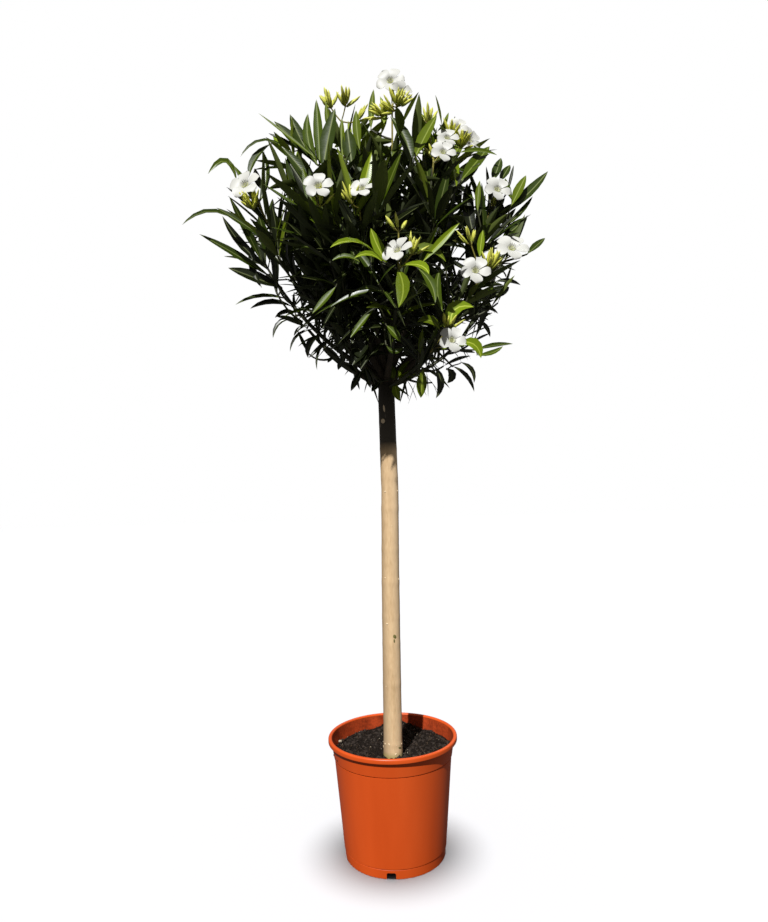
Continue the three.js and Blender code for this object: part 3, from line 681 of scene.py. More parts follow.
crownKeys = ("name", "bearing", "out", "tip", "foot", "bough", "stalk", "flowers", "shoots")
crownPlan = [dict(zip(crownKeys, row)) for row in (
    ("left", -157, 272, 1376, 1022, 120, 30, 2, 2),
    ("far_left", 176, 262, 1292, 1030, 100, 0, 0, 2),
    ("low_left", -168, 200, 1176, 1010, 60, 0, 0, 2),
    ("front_left", -122, 236, 1316, 1030, 110, 16, 1, 2),
    ("front_middle", -104, 178, 1330, 1044, 120, 18, 1, 2),
    ("front", -84, 256, 1180, 1022, 90, 14, 1, 2),
    ("low_front_left", -126, 160, 1128, 1012, 0, 0, 0, 2),
    ("low_right", -60, 186, 1056, 1004, 0, 14, 1, 2),
    ("right_front", -38, 246, 1200, 1022, 95, 20, 2, 2),
    ("right", -14, 236, 1362, 1030, 120, 22, 1, 2),
    ("low_far_right", -14, 180, 1112, 1008, 0, 0, 0, 2),
    ("back_right", 24, 256, 1276, 1032, 100, 24, 2, 2),
    ("low_back_right", 48, 170, 1110, 1014, 0, 0, 0, 2),
    ("back", 78, 258, 1250, 1022, 100, 24, 1, 2),
    ("low_back", 100, 160, 1108, 1006, 0, 0, 0, 1),
    ("back_left", 122, 256, 1310, 1030, 105, 24, 2, 2),
    ("low_back_left", 150, 178, 1128, 1016, 0, 0, 0, 2),
    ("upper_left", -140, 148, 1484, 1050, 150, 0, 0, 3),
    ("top_left", -166, 84, 1588, 1072, 170, 60, 0, 2),
    ("top", -72, 92, 1582, 1070, 165, 120, 3, 2),
    ("upper_front_right", -44, 152, 1448, 1046, 140, 20, 2, 2),
    ("upper_right", 4, 154, 1550, 1066, 160, 50, 3, 2),
    ("upper_back_right", 44, 188, 1462, 1048, 140, 30, 1, 2),
    ("top_back", 92, 112, 1560, 1070, 160, 40, 1, 2),
    ("upper_back_left", 138, 186, 1468, 1050, 140, 30, 1, 2),
)]

limbRule = {
    "footOut": 11, "bendOut": 0.58, "bendUp": 0.3, "footRadius": 8, "boughRadius": 5.4, "shootRadius": 4.6,
    "tipRadius": 2.3, "stalkRadius": 2.0, "footSwell": 1.25, "overlap": 0.03, "steps": 36,
}
limbShares = [k / limbRule["steps"] for k in range(limbRule["steps"] + 1)]
shootRule = {
    "bareFoot": 8, "bareTrunk": 34, "forward": 0.66, "sideways": 0.75,
    "footRadius": 2.9, "tipRadius": 1.7, "steps": 10,
}
# first the side shoots that the plan counts, then two finer ones on every leader
sideRules = (
    {"count": None, "shares": (0.14, 0.74), "lengths": (92, 128), "bare": 0.2,
     "turn": 1, "seed": 7919, "shift": 3},
    {"count": 2, "shares": (0.3, 0.86), "lengths": (58, 96), "bare": 0.12,
     "turn": 4, "seed": 104729, "shift": 7},
)


def outwards(angle):
    return Vector((math.cos(angle), math.sin(angle), 0))


def trunkAt(height):
    x = float(np.interp(height, *zip(*trunk["line"])))
    y = mix(trunk["footY"], trunk["topY"], (height - trunk["footZ"]) / (trunk["headZ"] - trunk["footZ"]))
    return Vector((x, y, height))


def trunkRadius(height):
    low, fork = trunk["footZ"] + trunk["flareHeight"], trunk["forkZ"]
    if height > fork:
        base = mix(trunk["forkRadius"], trunk["headRadius"], (height - fork) / (trunk["headZ"] - fork))
    elif height > low:
        base = mix(trunk["radius"], trunk["forkRadius"], clamp((height - low) / (fork - low)))
    else:
        rise = clamp((height - trunk["footZ"]) / trunk["flareHeight"])
        base = mix(trunk["flare"], trunk["radius"], 1 - (1 - rise) ** 2)
    swell = sum(size * math.exp(-((height - z) / wide) ** 2) for z, size, wide in trunk["knuckles"])
    return base - trunk["skin"] + swell


def makeBarkTree():
    # a skin along lines whose points carry their girth, with the bark's relief in its surface
    tree, given = newTree("barkedLimbs", [
        ("Finish", "Material", None), ("Sides", "Int", 12), ("Step", "Float", 0.009),
        ("Relief", "Float", 0.0005), ("Relief Scale", "Float", 120.0), ("Stretch", "Float", 0.3)])
    curve = outOf(tree, "GeometryNodeMeshToCurve", {"Mesh": given["Geometry"]})
    even = outOf(tree, "GeometryNodeResampleCurve", {"Curve": curve, "Length": given["Step"]}, mode="LENGTH")
    ring = outOf(tree, "GeometryNodeCurvePrimitiveCircle", {"Resolution": given["Sides"], "Radius": 1.0})
    skin = outOf(tree, "GeometryNodeCurveToMesh", {
        "Curve": even, "Profile Curve": ring, "Scale": attributeOf(tree, "girth"), "Fill Caps": True})
    place, normal = outOf(tree, "GeometryNodeInputPosition"), outOf(tree, "GeometryNodeInputNormal")
    drawing = outOf(tree, "ShaderNodeCombineXYZ", {"X": 1.0, "Y": 1.0, "Z": given["Stretch"]})
    drawn = outOf(tree, "ShaderNodeVectorMath", {0: place, 1: drawing}, operation="MULTIPLY")
    noise = outOf(tree, "ShaderNodeTexNoise", {
        "Vector": drawn, "Scale": given["Relief Scale"], "Detail": 3.0})
    depth = calc(tree, "MULTIPLY", calc(tree, "SUBTRACT", noise, 0.5), given["Relief"])
    push = outOf(tree, "ShaderNodeVectorMath", {0: normal, "Scale": depth}, operation="SCALE")
    rough = outOf(tree, "GeometryNodeSetPosition", {"Geometry": skin, "Offset": push})
    smooth = outOf(tree, "GeometryNodeSetShadeSmooth", {"Geometry": rough, "Shade Smooth": True})
    real = outOf(tree, "GeometryNodeRealizeInstances", {"Geometry": smooth})
    return endTree(tree, real, given["Finish"])


barkedLimbs = makeBarkTree()


# how finely each kind of limb is skinned, and the relief of its bark
skins = {
    "stemBark": {"sides": 64, "step": 3.5, "relief": 0.9, "reliefScale": 60.0, "stretch": 0.35},
    "boughBark": {"sides": 14, "step": 6, "relief": 0.7, "reliefScale": 110.0, "stretch": 0.6},
    "twigs": {"sides": 7, "step": 12, "relief": 0.3, "reliefScale": 160.0, "stretch": 1.0},
    "sideShoots": {"sides": 6, "step": 12, "relief": 0.3, "reliefScale": 160.0, "stretch": 1.0},
    "flowerStalks": {"sides": 6, "step": 6, "relief": 0.15, "reliefScale": 200.0, "stretch": 1.0},
}


def skinned(name, lines, finish):
    # lines are lists of (point, girth)
    skin = skins[name]
    mesh = bpy.data.meshes.new(name)
    points, edges, girths = [], [], []
    for line in lines:
        first = len(points)
        points += [tuple(point * mm) for point, girth in line]
        girths += [girth * mm for point, girth in line]
        edges += [(first + k, first + k + 1) for k in range(len(line) - 1)]
    mesh.from_pydata(points, edges, [])
    setValues(mesh, "girth", "FLOAT", girths)
    return grown(newObject(name, mesh), barkedLimbs, {
        "Finish": finish, "Sides": skin["sides"], "Step": skin["step"] * mm, "Relief": skin["relief"] * mm,
        "Relief Scale": skin["reliefScale"], "Stretch": skin["stretch"]})


def makeTrunk():
    heights = np.arange(trunk["footZ"] - 4, trunk["headZ"] + 1, 3.0)
    line = [(trunkAt(float(z)), trunkRadius(float(z))) for z in heights]
    settle(skinned("stemBark", [line], stemBarkWithPaintedLight), "bark", "trunk")


makeTrunk()


class Line:
    # a curved shoot through three points, as the limbs of the solid crown are
    def __init__(self, first, bend, last):
        self.points = (first, bend, last)
        steps = [self.at(k / 40) for k in range(41)]
        self.length = sum((b - a).length for a, b in zip(steps, steps[1:]))
        self.normal = (bend - first).cross(last - bend).normalized()

    def at(self, t):
        a, b, c = self.points
        return a * (1 - t) ** 2 + b * (2 * t * (1 - t)) + c * t ** 2

    def heading(self, t):
        a, b, c = self.points
        return ((b - a) * (1 - t) + (c - b) * t).normalized()


def turnedAbout(axis, side, angle):
    return side * math.cos(angle) + axis.cross(side) * math.sin(angle)


def leaderOf(row):
    outward = outwards(math.radians(row["bearing"]))
    start = trunkAt(row["foot"]) + outward * limbRule["footOut"]
    end = trunkAt(trunk["forkZ"]) + outward * row["out"]
    end.z = row["tip"]
    bend = start + outward * (row["out"] * limbRule["bendOut"])
    return Line(start, bend + up * ((end.z - start.z) * limbRule["bendUp"]), end)


def sideShoot(line, start, share, turn, length):
    t = mix(start, 1, share)
    axis = line.heading(t)
    away = axis * shootRule["forward"] + turnedAbout(axis, line.normal, turn) * shootRule["sideways"]
    away.normalize()
    root = line.at(t)
    bend = root + away * (length / 2)
    return Line(root, bend, bend + away * (length / 3) + up * (length / 3))


def growCrown():
    plans = []
    for index, row in enumerate(crownPlan):
        leader = leaderOf(row)
        start = row["bough"] / leader.length
        bare = start + shootRule["bareFoot" if row["bough"] else "bareTrunk"] / leader.length
        lines = [{"line": leader, "from": bare, "to": 1 - row["stalk"] / leader.length}]
        for rule in sideRules:
            roll = seeded(rule["seed"] * (index + rule["shift"]))
            count = rule["count"] or row["shoots"]
            for number in range(count):
                share = mix(*rule["shares"], (number + roll()) / count)
                turn = golden * (number + rule["turn"]) + 2 * math.pi * roll()
                length = mix(*rule["lengths"], roll())
                shoot = sideShoot(leader, start, share, turn, length)
                lines.append({"line": shoot, "from": rule["bare"], "to": 1.0})
        plans.append({"row": row, "leader": leader, "start": start, "lines": lines, "roll": roll})
    return plans


plans = growCrown()


def girthAt(start, t):
    if start and t < start:
        return mix(limbRule["footRadius"], limbRule["boughRadius"], t / start)
    thick = limbRule["boughRadius" if start else "shootRadius"]
    return mix(thick, limbRule["tipRadius"], (t - start) / (1 - start))


def makeBoughs():
    boughs = []
    for plan in plans:
        leader, start = plan["leader"], plan["start"]
        if start:
            boughs.append([
                (leader.at(t), girthAt(start, t) * (1 if t else limbRule["footSwell"]))
                for t in limbShares if t <= start + limbRule["overlap"]])
    settle(skinned("boughBark", boughs, limbBarkPaintedShade), "limb", *boughNodes)


makeBoughs()


# flowers and bud clusters with a known place: point, side they face, size; and point, count
shownHeads = {
    "left": (
        (((-265, -165, 1402), (-0.25, -0.85, 0.35), 1.15),),
        (((-256, -172, 1362), 20),)),
    "front_left": (
        (((-110, -262, 1351), (0.05, -0.94, 0.3), 0.98),),
        (((-104, -252, 1332), 4),)),
    "front_middle": (
        (((-29, -235, 1357), (-0.2, -0.84, 0.4), 0.85),),
        (((-56, -226, 1346), 5),)),
    "top": (
        (((33, -125, 1632), (-0.15, -0.9, 0.25), 1.05), ((56, -140, 1600), (0.4, -0.85, 0.2), 0.85)),
        (((52, -145, 1580), 20), ((4, -130, 1562), 12), ((26, -125, 1574), 10))),
    "upper_front_right": (
        (((134, -165, 1458), (0.1, -0.92, 0.35), 0.92), ((146, -140, 1500), (0.1, -0.9, 0.4), 0.85)),
        (((118, -130, 1478), 8), ((112, -85, 1574), 16))),
    "upper_right": (
        (((177, -70, 1560), (0.1, -0.92, 0.3), 0.8), ((206, -45, 1545), (0.5, -0.8, 0.2), 1.0)),
        (((163, -80, 1549), 10), ((187, -85, 1519), 18))),
    "right": (
        (((249, -118, 1400), (0.15, -0.93, 0.3), 1.0),),
        (((244, -96, 1384), 4),)),
    "right_front": (
        (((179, -248, 1189), (0, -0.95, 0.3), 1.0), ((258, -200, 1246), (0.05, -0.85, 0.5), 1.15)),
        (((214, -222, 1212), 16), ((176, -205, 1268), 7))),
    "front": (
        (((32, -322, 1205), (-0.42, -0.76, 0.5), 1.0),),
        (((62, -308, 1216), 9), ((36, -300, 1262), 4))),
    "low_right": (
        (((131, -250, 1059), (0.1, -0.95, 0.25), 0.9),),
        (((128, -228, 1098), 10),)),
    "top_left": (
        (),
        (((-100, -60, 1631), 18), ((-62, -70, 1629), 14), ((-31, -80, 1585), 5))),
}

leafRule = {
    "length": 146, "lengthSpread": (0.7, 1.1),
    "width": 0.19, "narrow": 0.105, "lowWidth": 0.3, "widthSpread": (0.85, 1.1),
    "broadZ": 1140, "wideZ": 1500, "lowShare": 0.66, "lowZ": 1020, "fullZ": 1260, "firstShare": 0.72,
    "openAngle": 84, "closeAngle": 26, "scatter": 36, "twist": 0.7, "sideBow": 0.12,
    "openSag": 0.34, "closeSag": 0.05, "sagSpread": (0.4, 1.5), "lowSag": 1.5,
    "whorl": 3, "spacing": 17.5, "heartSpacing": 11, "heart": 165, "lastLeaf": 0.985,
    # leaves with a known place are this much broader below the first height
    "lowBroad": 1.35, "lowBroadZ": (1180, 1240),
    "rib": 0.09, "ribRise": 0.02, "fold": 0.34, "thick": 0.035, "veinSlope": 0.06,
    "outline": (
        (0, 0.11), (0.05, 0.13), (0.14, 0.40), (0.28, 0.78), (0.46, 1.0), (0.64, 0.90), (0.8, 0.64),
        (0.92, 0.30), (1, 0)),
}


def makeLeafShape():
    # a unit leaf along x with its upper face up, folded along the midrib
    verts, faces, parts = [], [], []
    rows = leafRule["outline"]
    rib, rise, fold, thick = (leafRule[key] for key in ("rib", "ribRise", "fold", "thick"))
    for reach, half in rows[:-1]:
        core = min(rib, half * 0.5)
        lift = fold * half
        across = ((-half, lift), (-core, rise), (core, rise), (half, lift), (core, -thick), (-core, -thick))
        verts += [(reach, y, z) for y, z in across]
    tip = len(verts)
    verts.append((1, 0, 0))
    kinds = (0, 1, 0, 2, 2, 2)
    last = len(rows) - 2
    for k in range(last):
        for side in range(6):
            n = (side + 1) % 6
            faces.append((6 * k + side, 6 * k + n, 6 * k + 6 + n, 6 * k + 6 + side))
            parts.append(kinds[side])
    for side in range(6):
        faces.append((6 * last + side, 6 * last + (side + 1) % 6, tip))
        parts.append(kinds[side])
    faces.append((5, 4, 3, 2, 1, 0))
    parts.append(2)
    mesh = bpy.data.meshes.new("leafShape")
    mesh.from_pydata(verts, [], [face[::-1] for face in faces])
    setValues(mesh, "part", "INT", parts, "FACE")
    setValues(mesh, "reach", "FLOAT", [x for x, y, z in verts])
    setValues(mesh, "across", "FLOAT", [y for x, y, z in verts])
    layer = mesh.uv_layers.new(name="UVMap")
    for loop in mesh.loops:
        x, y, z = verts[loop.vertex_index]
        layer.data[loop.index].uv = (x, 0.5 + leafRule["veinSlope"] * abs(y))
    mesh.shade_smooth()
    rim = mesh.attributes.new("sharp_edge", "BOOLEAN", "EDGE")
    for edge in mesh.edges:
        rim.data[edge.index].value = all(v % 6 in (0, 3) or v == tip for v in edge.vertices)
    return newObject("leafShape", mesh)


leafShape = makeLeafShape()


def addCopies(tree, given, label):
    # a copy of the given object at every point, by the point's own turn and size
    shape = addNode(tree, "GeometryNodeObjectInfo", {"Object": given[label]}).outputs["Geometry"]
    turn, size = attributeOf(tree, "turn", "QUATERNION"), attributeOf(tree, "size", "FLOAT_VECTOR")
    copies = outOf(tree, "GeometryNodeInstanceOnPoints", {
        "Points": given["Geometry"], "Instance": shape, "Rotation": turn, "Scale": size})
    return outOf(tree, "GeometryNodeRealizeInstances", {"Geometry": copies})


def pointsOf(name, spots, turns, sizes):
    mesh = bpy.data.meshes.new(name)
    mesh.from_pydata([tuple(spot * mm) for spot in spots], [], [])
    setValues(mesh, "turn", "QUATERNION", turns)
    setValues(mesh, "size", "FLOAT_VECTOR", sizes)
    return mesh


def makeSprayTree():
    # sets a leaf at every point, then lets it droop towards the tip
    tree, given = newTree("leafSprays", [
        ("Leaf", "Object", None), ("Blade", "Material", None), ("Midrib", "Material", None),
        ("Underside", "Material", None)])
    bent = addCopies(tree, given, "Leaf")
    reach, across = attributeOf(tree, "reach"), attributeOf(tree, "across")
    way, lift, droop, upper, size = (
        attributeOf(tree, name, "FLOAT_VECTOR") for name in ("way", "lift", "droop", "upper", "size"))

    def step(operation, *vectors):
        return outOf(tree, "ShaderNodeVectorMath", dict(enumerate(vectors)), operation=operation)

    def scaled(vector, factor):
        return outOf(tree, "ShaderNodeVectorMath", {0: vector, "Scale": factor}, operation="SCALE")

    # the blade's middle line first, then its width turned to stay square to that line
    line = step("ADD", scaled(lift, reach), scaled(droop, calc(tree, "MULTIPLY", reach, reach)))
    heading = step("ADD", step("ADD", way, lift), scaled(droop, calc(tree, "MULTIPLY", reach, 2.0)))
    square = step("NORMALIZE", step("CROSS_PRODUCT", upper, heading))
    swing = step("SUBTRACT", square, step("NORMALIZE", step("CROSS_PRODUCT", upper, way)))
    half = calc(tree, "MULTIPLY", across, addNode(tree, "ShaderNodeSeparateXYZ", {0: size}).outputs["Y"])
    offset = step("ADD", line, scaled(swing, half))
    bent = outOf(tree, "GeometryNodeSetPosition", {"Geometry": bent, "Offset": offset})
    part = attributeOf(tree, "part", "INT")
    for number, label in enumerate(("Blade", "Midrib", "Underside")):
        chosen = outOf(tree, "FunctionNodeCompare", {2: part, 3: number}, data_type="INT", operation="EQUAL")
        bent = outOf(tree, "GeometryNodeSetMaterial", {
            "Geometry": bent, "Selection": chosen, "Material": given[label]})
    return endTree(tree, bent)


leafSprays = makeSprayTree()
crownHeart = Vector((6, -36, 1220))

# sprays with a known place, by tone, which is partly painted light and shade: each leaf's root, its tip, how
# far it bows to its left, and its width
shownLeaves = {
    "deep": (
        (-202, -120, 1205, -306, -150, 1240, 0, 24), (-230, -120, 1247, -318, -140, 1351, 9, 18),
        (-254, -120, 1311, -240, -140, 1200, -14, 16), (-204, -150, 1274, -211, -170, 1356, -2, 18),
        (-161, -100, 1504, -227, -100, 1542, -1, 11), (133, -150, 1383, 213, -130, 1451, -6, 25),
        (276, -90, 1406, 293, -80, 1469, 0, 7), (197, -130, 1294, 186, -120, 1414, 5, 25),
        (236, -100, 1373, 232, -90, 1463, -1, 8), (226, -180, 1187, 277, -180, 1179, 5, 9),
        (215, -170, 1156, 258, -160, 1182, 0, 22), (192, -150, 1142, 236, -150, 1131, 7, 8),
        (195, -150, 1120, 218, -150, 1084, 5, 7), (135, -190, 1021, 177, -190, 969, 9, 7),
        (151, -190, 1028, 177, -190, 986, 11, 7), (101, -180, 1024, 103, -180, 960, 12, 11),
        (123, -200, 1015, 124, -200, 986, 11, 12), (-186, -80, 1176, -273, -100, 1169, -12, 12),
        (-178, -80, 1163, -223, -90, 1151, -7, 10), (-174, -80, 1150, -228, -90, 1108, -18, 9),
        (-153, -80, 1136, -184, -90, 1111, -6, 7), (-138, -80, 1127, -193, -90, 1078, -16, 6),
        (-126, -80, 1116, -155, -90, 1064, -12, 12), (-109, -80, 1109, -137, -90, 1038, -11, 5),
        (-75, -90, 1068, -93, -90, 1037, -1, 12), (-43, -85, 1036, -67, -95, 991, 0, 12),
        (-38, -85, 1045, -26, -90, 997, 0, 10), (-33, -80, 1036, -18, -85, 1008, 0, 8),
        (-6, -75, 1012, -24, -85, 990, 0, 11), (-69, -90, 1058, -53, -100, 1029, 0, 13),
        (-104, -80, 1067, -115, -85, 1054, 0, 7), (-107, -80, 1107, -154, -90, 1064, 0, 9),
        (-156, -90, 1196, -157, -90, 1251, -2, 15), (-169, -90, 1196, -176, -90, 1264, 0, 19),
        (219, -100, 1305, 266, -110, 1385, 2, 20), (245, -90, 1342, 287, -95, 1380, 0, 18),
        (267, -95, 1340, 251, -100, 1394, 1, 16), (257, -90, 1321, 291, -95, 1369, 1, 14),
        (-293, -120, 1421, -261, -130, 1445, 3, 15), (-241, -110, 1416, -253, -120, 1458, 2, 15),
        (204, -100, 1310, 226, -110, 1394, 2, 16), (192, -95, 1312, 193, -100, 1421, -2, 16),
        (15, 40, 1308, 8, 40, 1219, 2, 20), (-9, 40, 1266, 1, 40, 1191, 2, 20),
        (-28, -182, 1082, -58, -198, 1026, 0, 24), (-44, -182, 1084, -42, -198, 1022, 0, 24),
        (-60, -182, 1078, -26, -198, 1034, 0, 22), (20, 40, 1228, 6, 40, 1145, -2, 20),
        (-19, 40, 1220, -10, 40, 1138, 2, 18), (50, 40, 1218, 38, 40, 1144, 2, 18),
    ),
    "mature": (
        (-221, -130, 1223, -359, -165, 1305, -3, 16), (-239, -140, 1253, -292, -190, 1369, -1, 16),
        (-246, -130, 1376, -239, -110, 1501, -13, 19), (-221, -150, 1249, -239, -170, 1340, -2, 22),
        (-218, -110, 1515, -262, -140, 1430, -11, 19), (-109, -150, 1435, -84, -110, 1586, 2, 31),
        (-51, -120, 1457, -60, -100, 1548, 0, 31), (-157, -150, 1404, -177, -140, 1484, 6, 20),
        (68, -170, 1425, 30, -150, 1543, -12, 26), (183, -190, 1051, 260, -170, 1065, 3, 9),
        (8, -240, 1055, 41, -240, 1050, -11, 9), (-115, -240, 1235, -167, -250, 1233, -11, 9),
        (-266, -150, 1316, -381, -205, 1308, -33, 13), (-176, -110, 1495, -279, -140, 1472, -31, 10),
        (-127, -110, 1468, -213, -110, 1562, -2, 23), (-122, -120, 1459, -179, -110, 1576, 5, 27),
        (264, -100, 1355, 368, -70, 1458, -5, 26), (261, -100, 1325, 331, -80, 1400, -5, 13),
        (256, -110, 1298, 315, -90, 1351, -1, 27), (294, -170, 1244, 336, -150, 1283, 0, 16),
        (260, -90, 1428, 287, -70, 1474, 0, 19), (242, -100, 1424, 266, -80, 1485, -1, 21),
        (-111, -170, 1365, -193, -150, 1487, -4, 24), (-194, -80, 1191, -302, -110, 1175, -14, 9),
    ),
    "mid": (
        (183, -190, 1041, 238, -180, 1059, -6, 9), (68, -300, 1179, 96, -315, 1111, 9, 12),
        (110, -280, 1185, 112, -290, 1101, -8, 11), (-80, -280, 1157, -123, -300, 1102, 1, 11),
        (-11, -260, 1120, -57, -280, 1061, -1, 10), (9, -250, 1090, 35, -260, 1055, 2, 11),
        (-89, -290, 1198, -35, -290, 1196, 11, 9), (-284, -150, 1414, -338, -170, 1424, -36, 16),
        (170, -130, 1473, 251, -120, 1471, 7, 15), (283, -95, 1386, 270, -95, 1434, 1, 12),
        (-121, -130, 1454, -141, -110, 1577, 10, 21), (-118, -120, 1454, -125, -90, 1619, -1, 21),
    ),
    "olive": (
        (76, -150, 1451, 129, -110, 1565, 2, 27), (-97, -100, 1537, -104, -95, 1609, 1, 11),
        (-35, -90, 1505, -41, -80, 1598, 2, 19), (-10, -100, 1543, -2, -95, 1634, 1, 15),
        (113, -140, 1438, 167, -110, 1511, 2, 19), (278, -110, 1367, 316, -90, 1441, 0, 21),
        (202, -150, 1340, 210, -140, 1410, 2, 12), (-121, -130, 1466, -244, -120, 1575, -1, 7),
        (-70, -110, 1475, -70, -100, 1570, 2, 15), (110, -240, 1080, 67, -250, 1094, -11, 15),
        (79, -190, 1016, 73, -190, 960, 0, 16), (31, -62, 1019, 59, -80, 1054, 3, 10),
        (24, -62, 1017, 19, -70, 1050, 1, 13), (31, -312, 1175, 28, -432, 1073, 9, 18),
        (44, -300, 1198, 119, -300, 1189, 22, 16),
    ),
    "young": (
        (11, -110, 1526, 11, -100, 1615, -8, 15), (192, -220, 1222, 200, -220, 1276, 1, 13),
        (131, -235, 1087, 177, -225, 1126, 20, 23), (145, -250, 1054, 184, -245, 1024, 13, 17),
        (28, -62, 1013, 36, -66, 971, -4, 13), (31, -62, 1015, 79, -70, 1021, 8, 14),
        (31, -312, 1178, 79, -420, 1129, 14, 13), (8, -300, 1192, -81, -400, 1184, -23, 13),
        (8, -300, 1188, -45, -315, 1195, -13, 10), (15, -300, 1188, -14, -300, 1254, 3, 15),
    ),
}
shownTurn = Vector((-0.15, -0.88, 0.45))
stemRule = {"near": 34, "footGirth": 2.3, "tipGirth": 1.6, "forkGirth": 1.4, "stalkGirth": 1.1, "steps": 8}


sprayToneAndLightRule = {
    "reach": 300, "height": 330, "base": -0.22, "outer": 0.5, "tip": 0.2,
    "upper": 0.64, "upperZ": (1200, 1580),
    "front": 0.32, "frontY": (120, 280), "luck": 0.46, "pale": 0.42, "paleRoll": 0.84, "paleBelow": 1420,
    "limits": ((0.42, "deep"), (0.68, "mature"), (0.92, "mid"), (1.1, "olive")),
}


def sprayToneAndPaintedLight(point, share, roll):
    # sprays are lighter towards the tips of shoots and by chance; on top of that they are painted lighter
    # outward, upward and towards the front, where light falls, and darker in the shaded heart of the crown
    # and on the low shoots
    rule = sprayToneAndLightRule
    x, y, z = point - crownHeart
    away = math.sqrt((x / rule["reach"]) ** 2 + (y / rule["reach"]) ** 2 + (max(z, 0) / rule["height"]) ** 2)
    light = rule["outer"] * away + rule["upper"] * smoothStep(point.z, *rule["upperZ"])
    light += rule["tip"] * share + rule["base"]
    light += rule["front"] * smoothStep(-point.y, *rule["frontY"]) + rule["luck"] * (roll - 0.5)
    # here and there a paler spray among the dark ones: painted sunlight falling into the lower crown
    light += rule["pale"] * (roll > rule["paleRoll"] and point.z < rule["paleBelow"])
    for limit, leafTone in rule["limits"]:
        if light < limit:
            return leafTone
    return "young"


# how far leaf tips reach from the stem's line at each height, as the crown looks from the front
crownReach = {
    "heights": (
        965, 1008, 1043, 1078, 1112, 1145, 1180, 1213, 1246, 1280, 1314, 1348, 1383, 1415, 1447, 1481,
        1515, 1546, 1579, 1613, 1650, 1680,
    ),
    "left": (
        25, 75, 135, 195, 232, 240, 285, 315, 305, 330, 365, 392, 405, 395, 350, 360, 360, 292, 245, 235,
        140, 40,
    ),
    "right": (
        90, 180, 200, 250, 275, 252, 256, 274, 305, 316, 345, 359, 340, 335, 352, 366, 300, 262, 240, 225,
        150, 60,
    ),
    "viewAcross": -2, "viewFrom": -1480, "viewHeight": 790, "viewDepth": 1442, "shift": -6,
    "slack": -8, "roundSlack": 1.04, "frontSlack": 1.2, "top": 1625,
    # sky between the sprays: how far across, how high and how wide
    "openings": (
        (-312, 1530, 18), (66, 1602, 12), (72, 1578, 12), (76, 1553, 10), (175, 1634, 26),
        (-373, 1374, 24), (263, 1119, 24), (-214, 1113, 20), (-185, 1079, 19), (-290, 1230, 18),
        (-348, 1427, 16), (-341, 1340, 15), (-135, 1043, 15), (-349, 1474, 15), (-298, 1510, 14),
        (321, 1334, 14), (-34, 1647, 14), (313, 1477, 14), (223, 1471, 13), (-159, 1061, 12),
        (-260, 1227, 12), (-319, 1321, 11), (-238, 1219, 11), (-198, 1141, 11), (-113, 1057, 11),
        (-206, 1609, 10),
    ),
    # places where the leaves stand thinner: across, high, how wide, and the share that is missing
    "thinned": (
        (-262, 1231, 65, 0.92), (-234, 1193, 56, 0.93), (-202, 1159, 56, 0.93), (-181, 1125, 56, 0.94),
        (-156, 1092, 56, 0.94), (-118, 1058, 52, 0.92), (-75, 1037, 48, 0.84), (-32, 1022, 43, 0.66),
        (-244, 1444, 30, 0.7), (-156, 1450, 26, 0.6), (-64, 1452, 26, 0.6), (-308, 1317, 48, 0.6),
        (-243, 1288, 48, 0.6), (-200, 1287, 39, 0.6), (-174, 1235, 39, 0.65), (158, 1381, 48, 0.5),
        (176, 1263, 52, 0.7), (159, 1193, 39, 0.3), (194, 1126, 43, 0.7), (144, 1083, 43, 0.75),
        (88, 1023, 43, 0.8), (190, 1075, 40, 0.9), (140, 1030, 40, 0.9), (244, 1457, 43, 0.55),
        (294, 1300, 35, 0.8),
    ),
}


def seenAt(point):
    # where a point falls on the upright plane through the stem
    rule = crownReach
    near = rule["viewDepth"] / (point.y - rule["viewFrom"])
    across = (point.x - rule["viewAcross"]) * near + rule["shift"]
    return across, rule["viewHeight"] + (point.z - rule["viewHeight"]) * near


def keepsInCrown(point):
    rule = crownReach
    x, z = seenAt(point)
    limit = float(np.interp(z, rule["heights"], rule["right" if x > 0 else "left"], left=0, right=0))
    widest = max(
        float(np.interp(point.z, rule["heights"], rule[side], left=0, right=0)) for side in ("left", "right"))
    widest *= rule["frontSlack" if point.y < crownHeart.y else "roundSlack"]
    away = math.hypot(point.x - crownHeart.x, point.y - crownHeart.y)
    if abs(x) > limit + rule["slack"] or away > widest or point.z > rule["top"]:
        return False
    return all(math.hypot(x - atX, z - atZ) > wide for atX, atZ, wide in rule["openings"])


def leafPoint(leaf, share):
    return leaf["root"] + (leaf["along"] * leaf["length"] + leaf["lift"]) * share + leaf["droop"] * share ** 2


def clearsShown(leaf):
    # whether a leaf leaves the open side of the flowers and of the leaves with a known place free
    for share in (0.1, 0.25, 0.4, 0.55, 0.7, 0.85, 1):
        point = leafPoint(leaf, share)
        away = np.hypot(*(keptClear[:, :2] - seenAt(point)).T)
        if np.any((away < keptClear[:, 3]) & (keptClear[:, 2] > point.y)):
            return False
    return True


def isMissing(leaf, roll):
    x, z = seenAt(leafPoint(leaf, 0.6))
    shares = [share for atX, atZ, wide, share in crownReach["thinned"] if math.hypot(x - atX, z - atZ) < wide]
    return roll() < max(shares, default=0)


def fitted(leaf):
    # shortens a leaf that would leave the crown's outline, or drops it
    for share in (1, 0.86, 0.72, 0.6):
        if all(keepsInCrown(leafPoint(leaf, share * part)) for part in (0.4, 0.6, 0.8, 0.9, 1)):
            for key in ("length", "half"):
                leaf[key] = leaf[key] * share
            leaf["droop"] = leaf["droop"] * share ** 2
            return leaf if clearsShown(leaf) else None
    return None


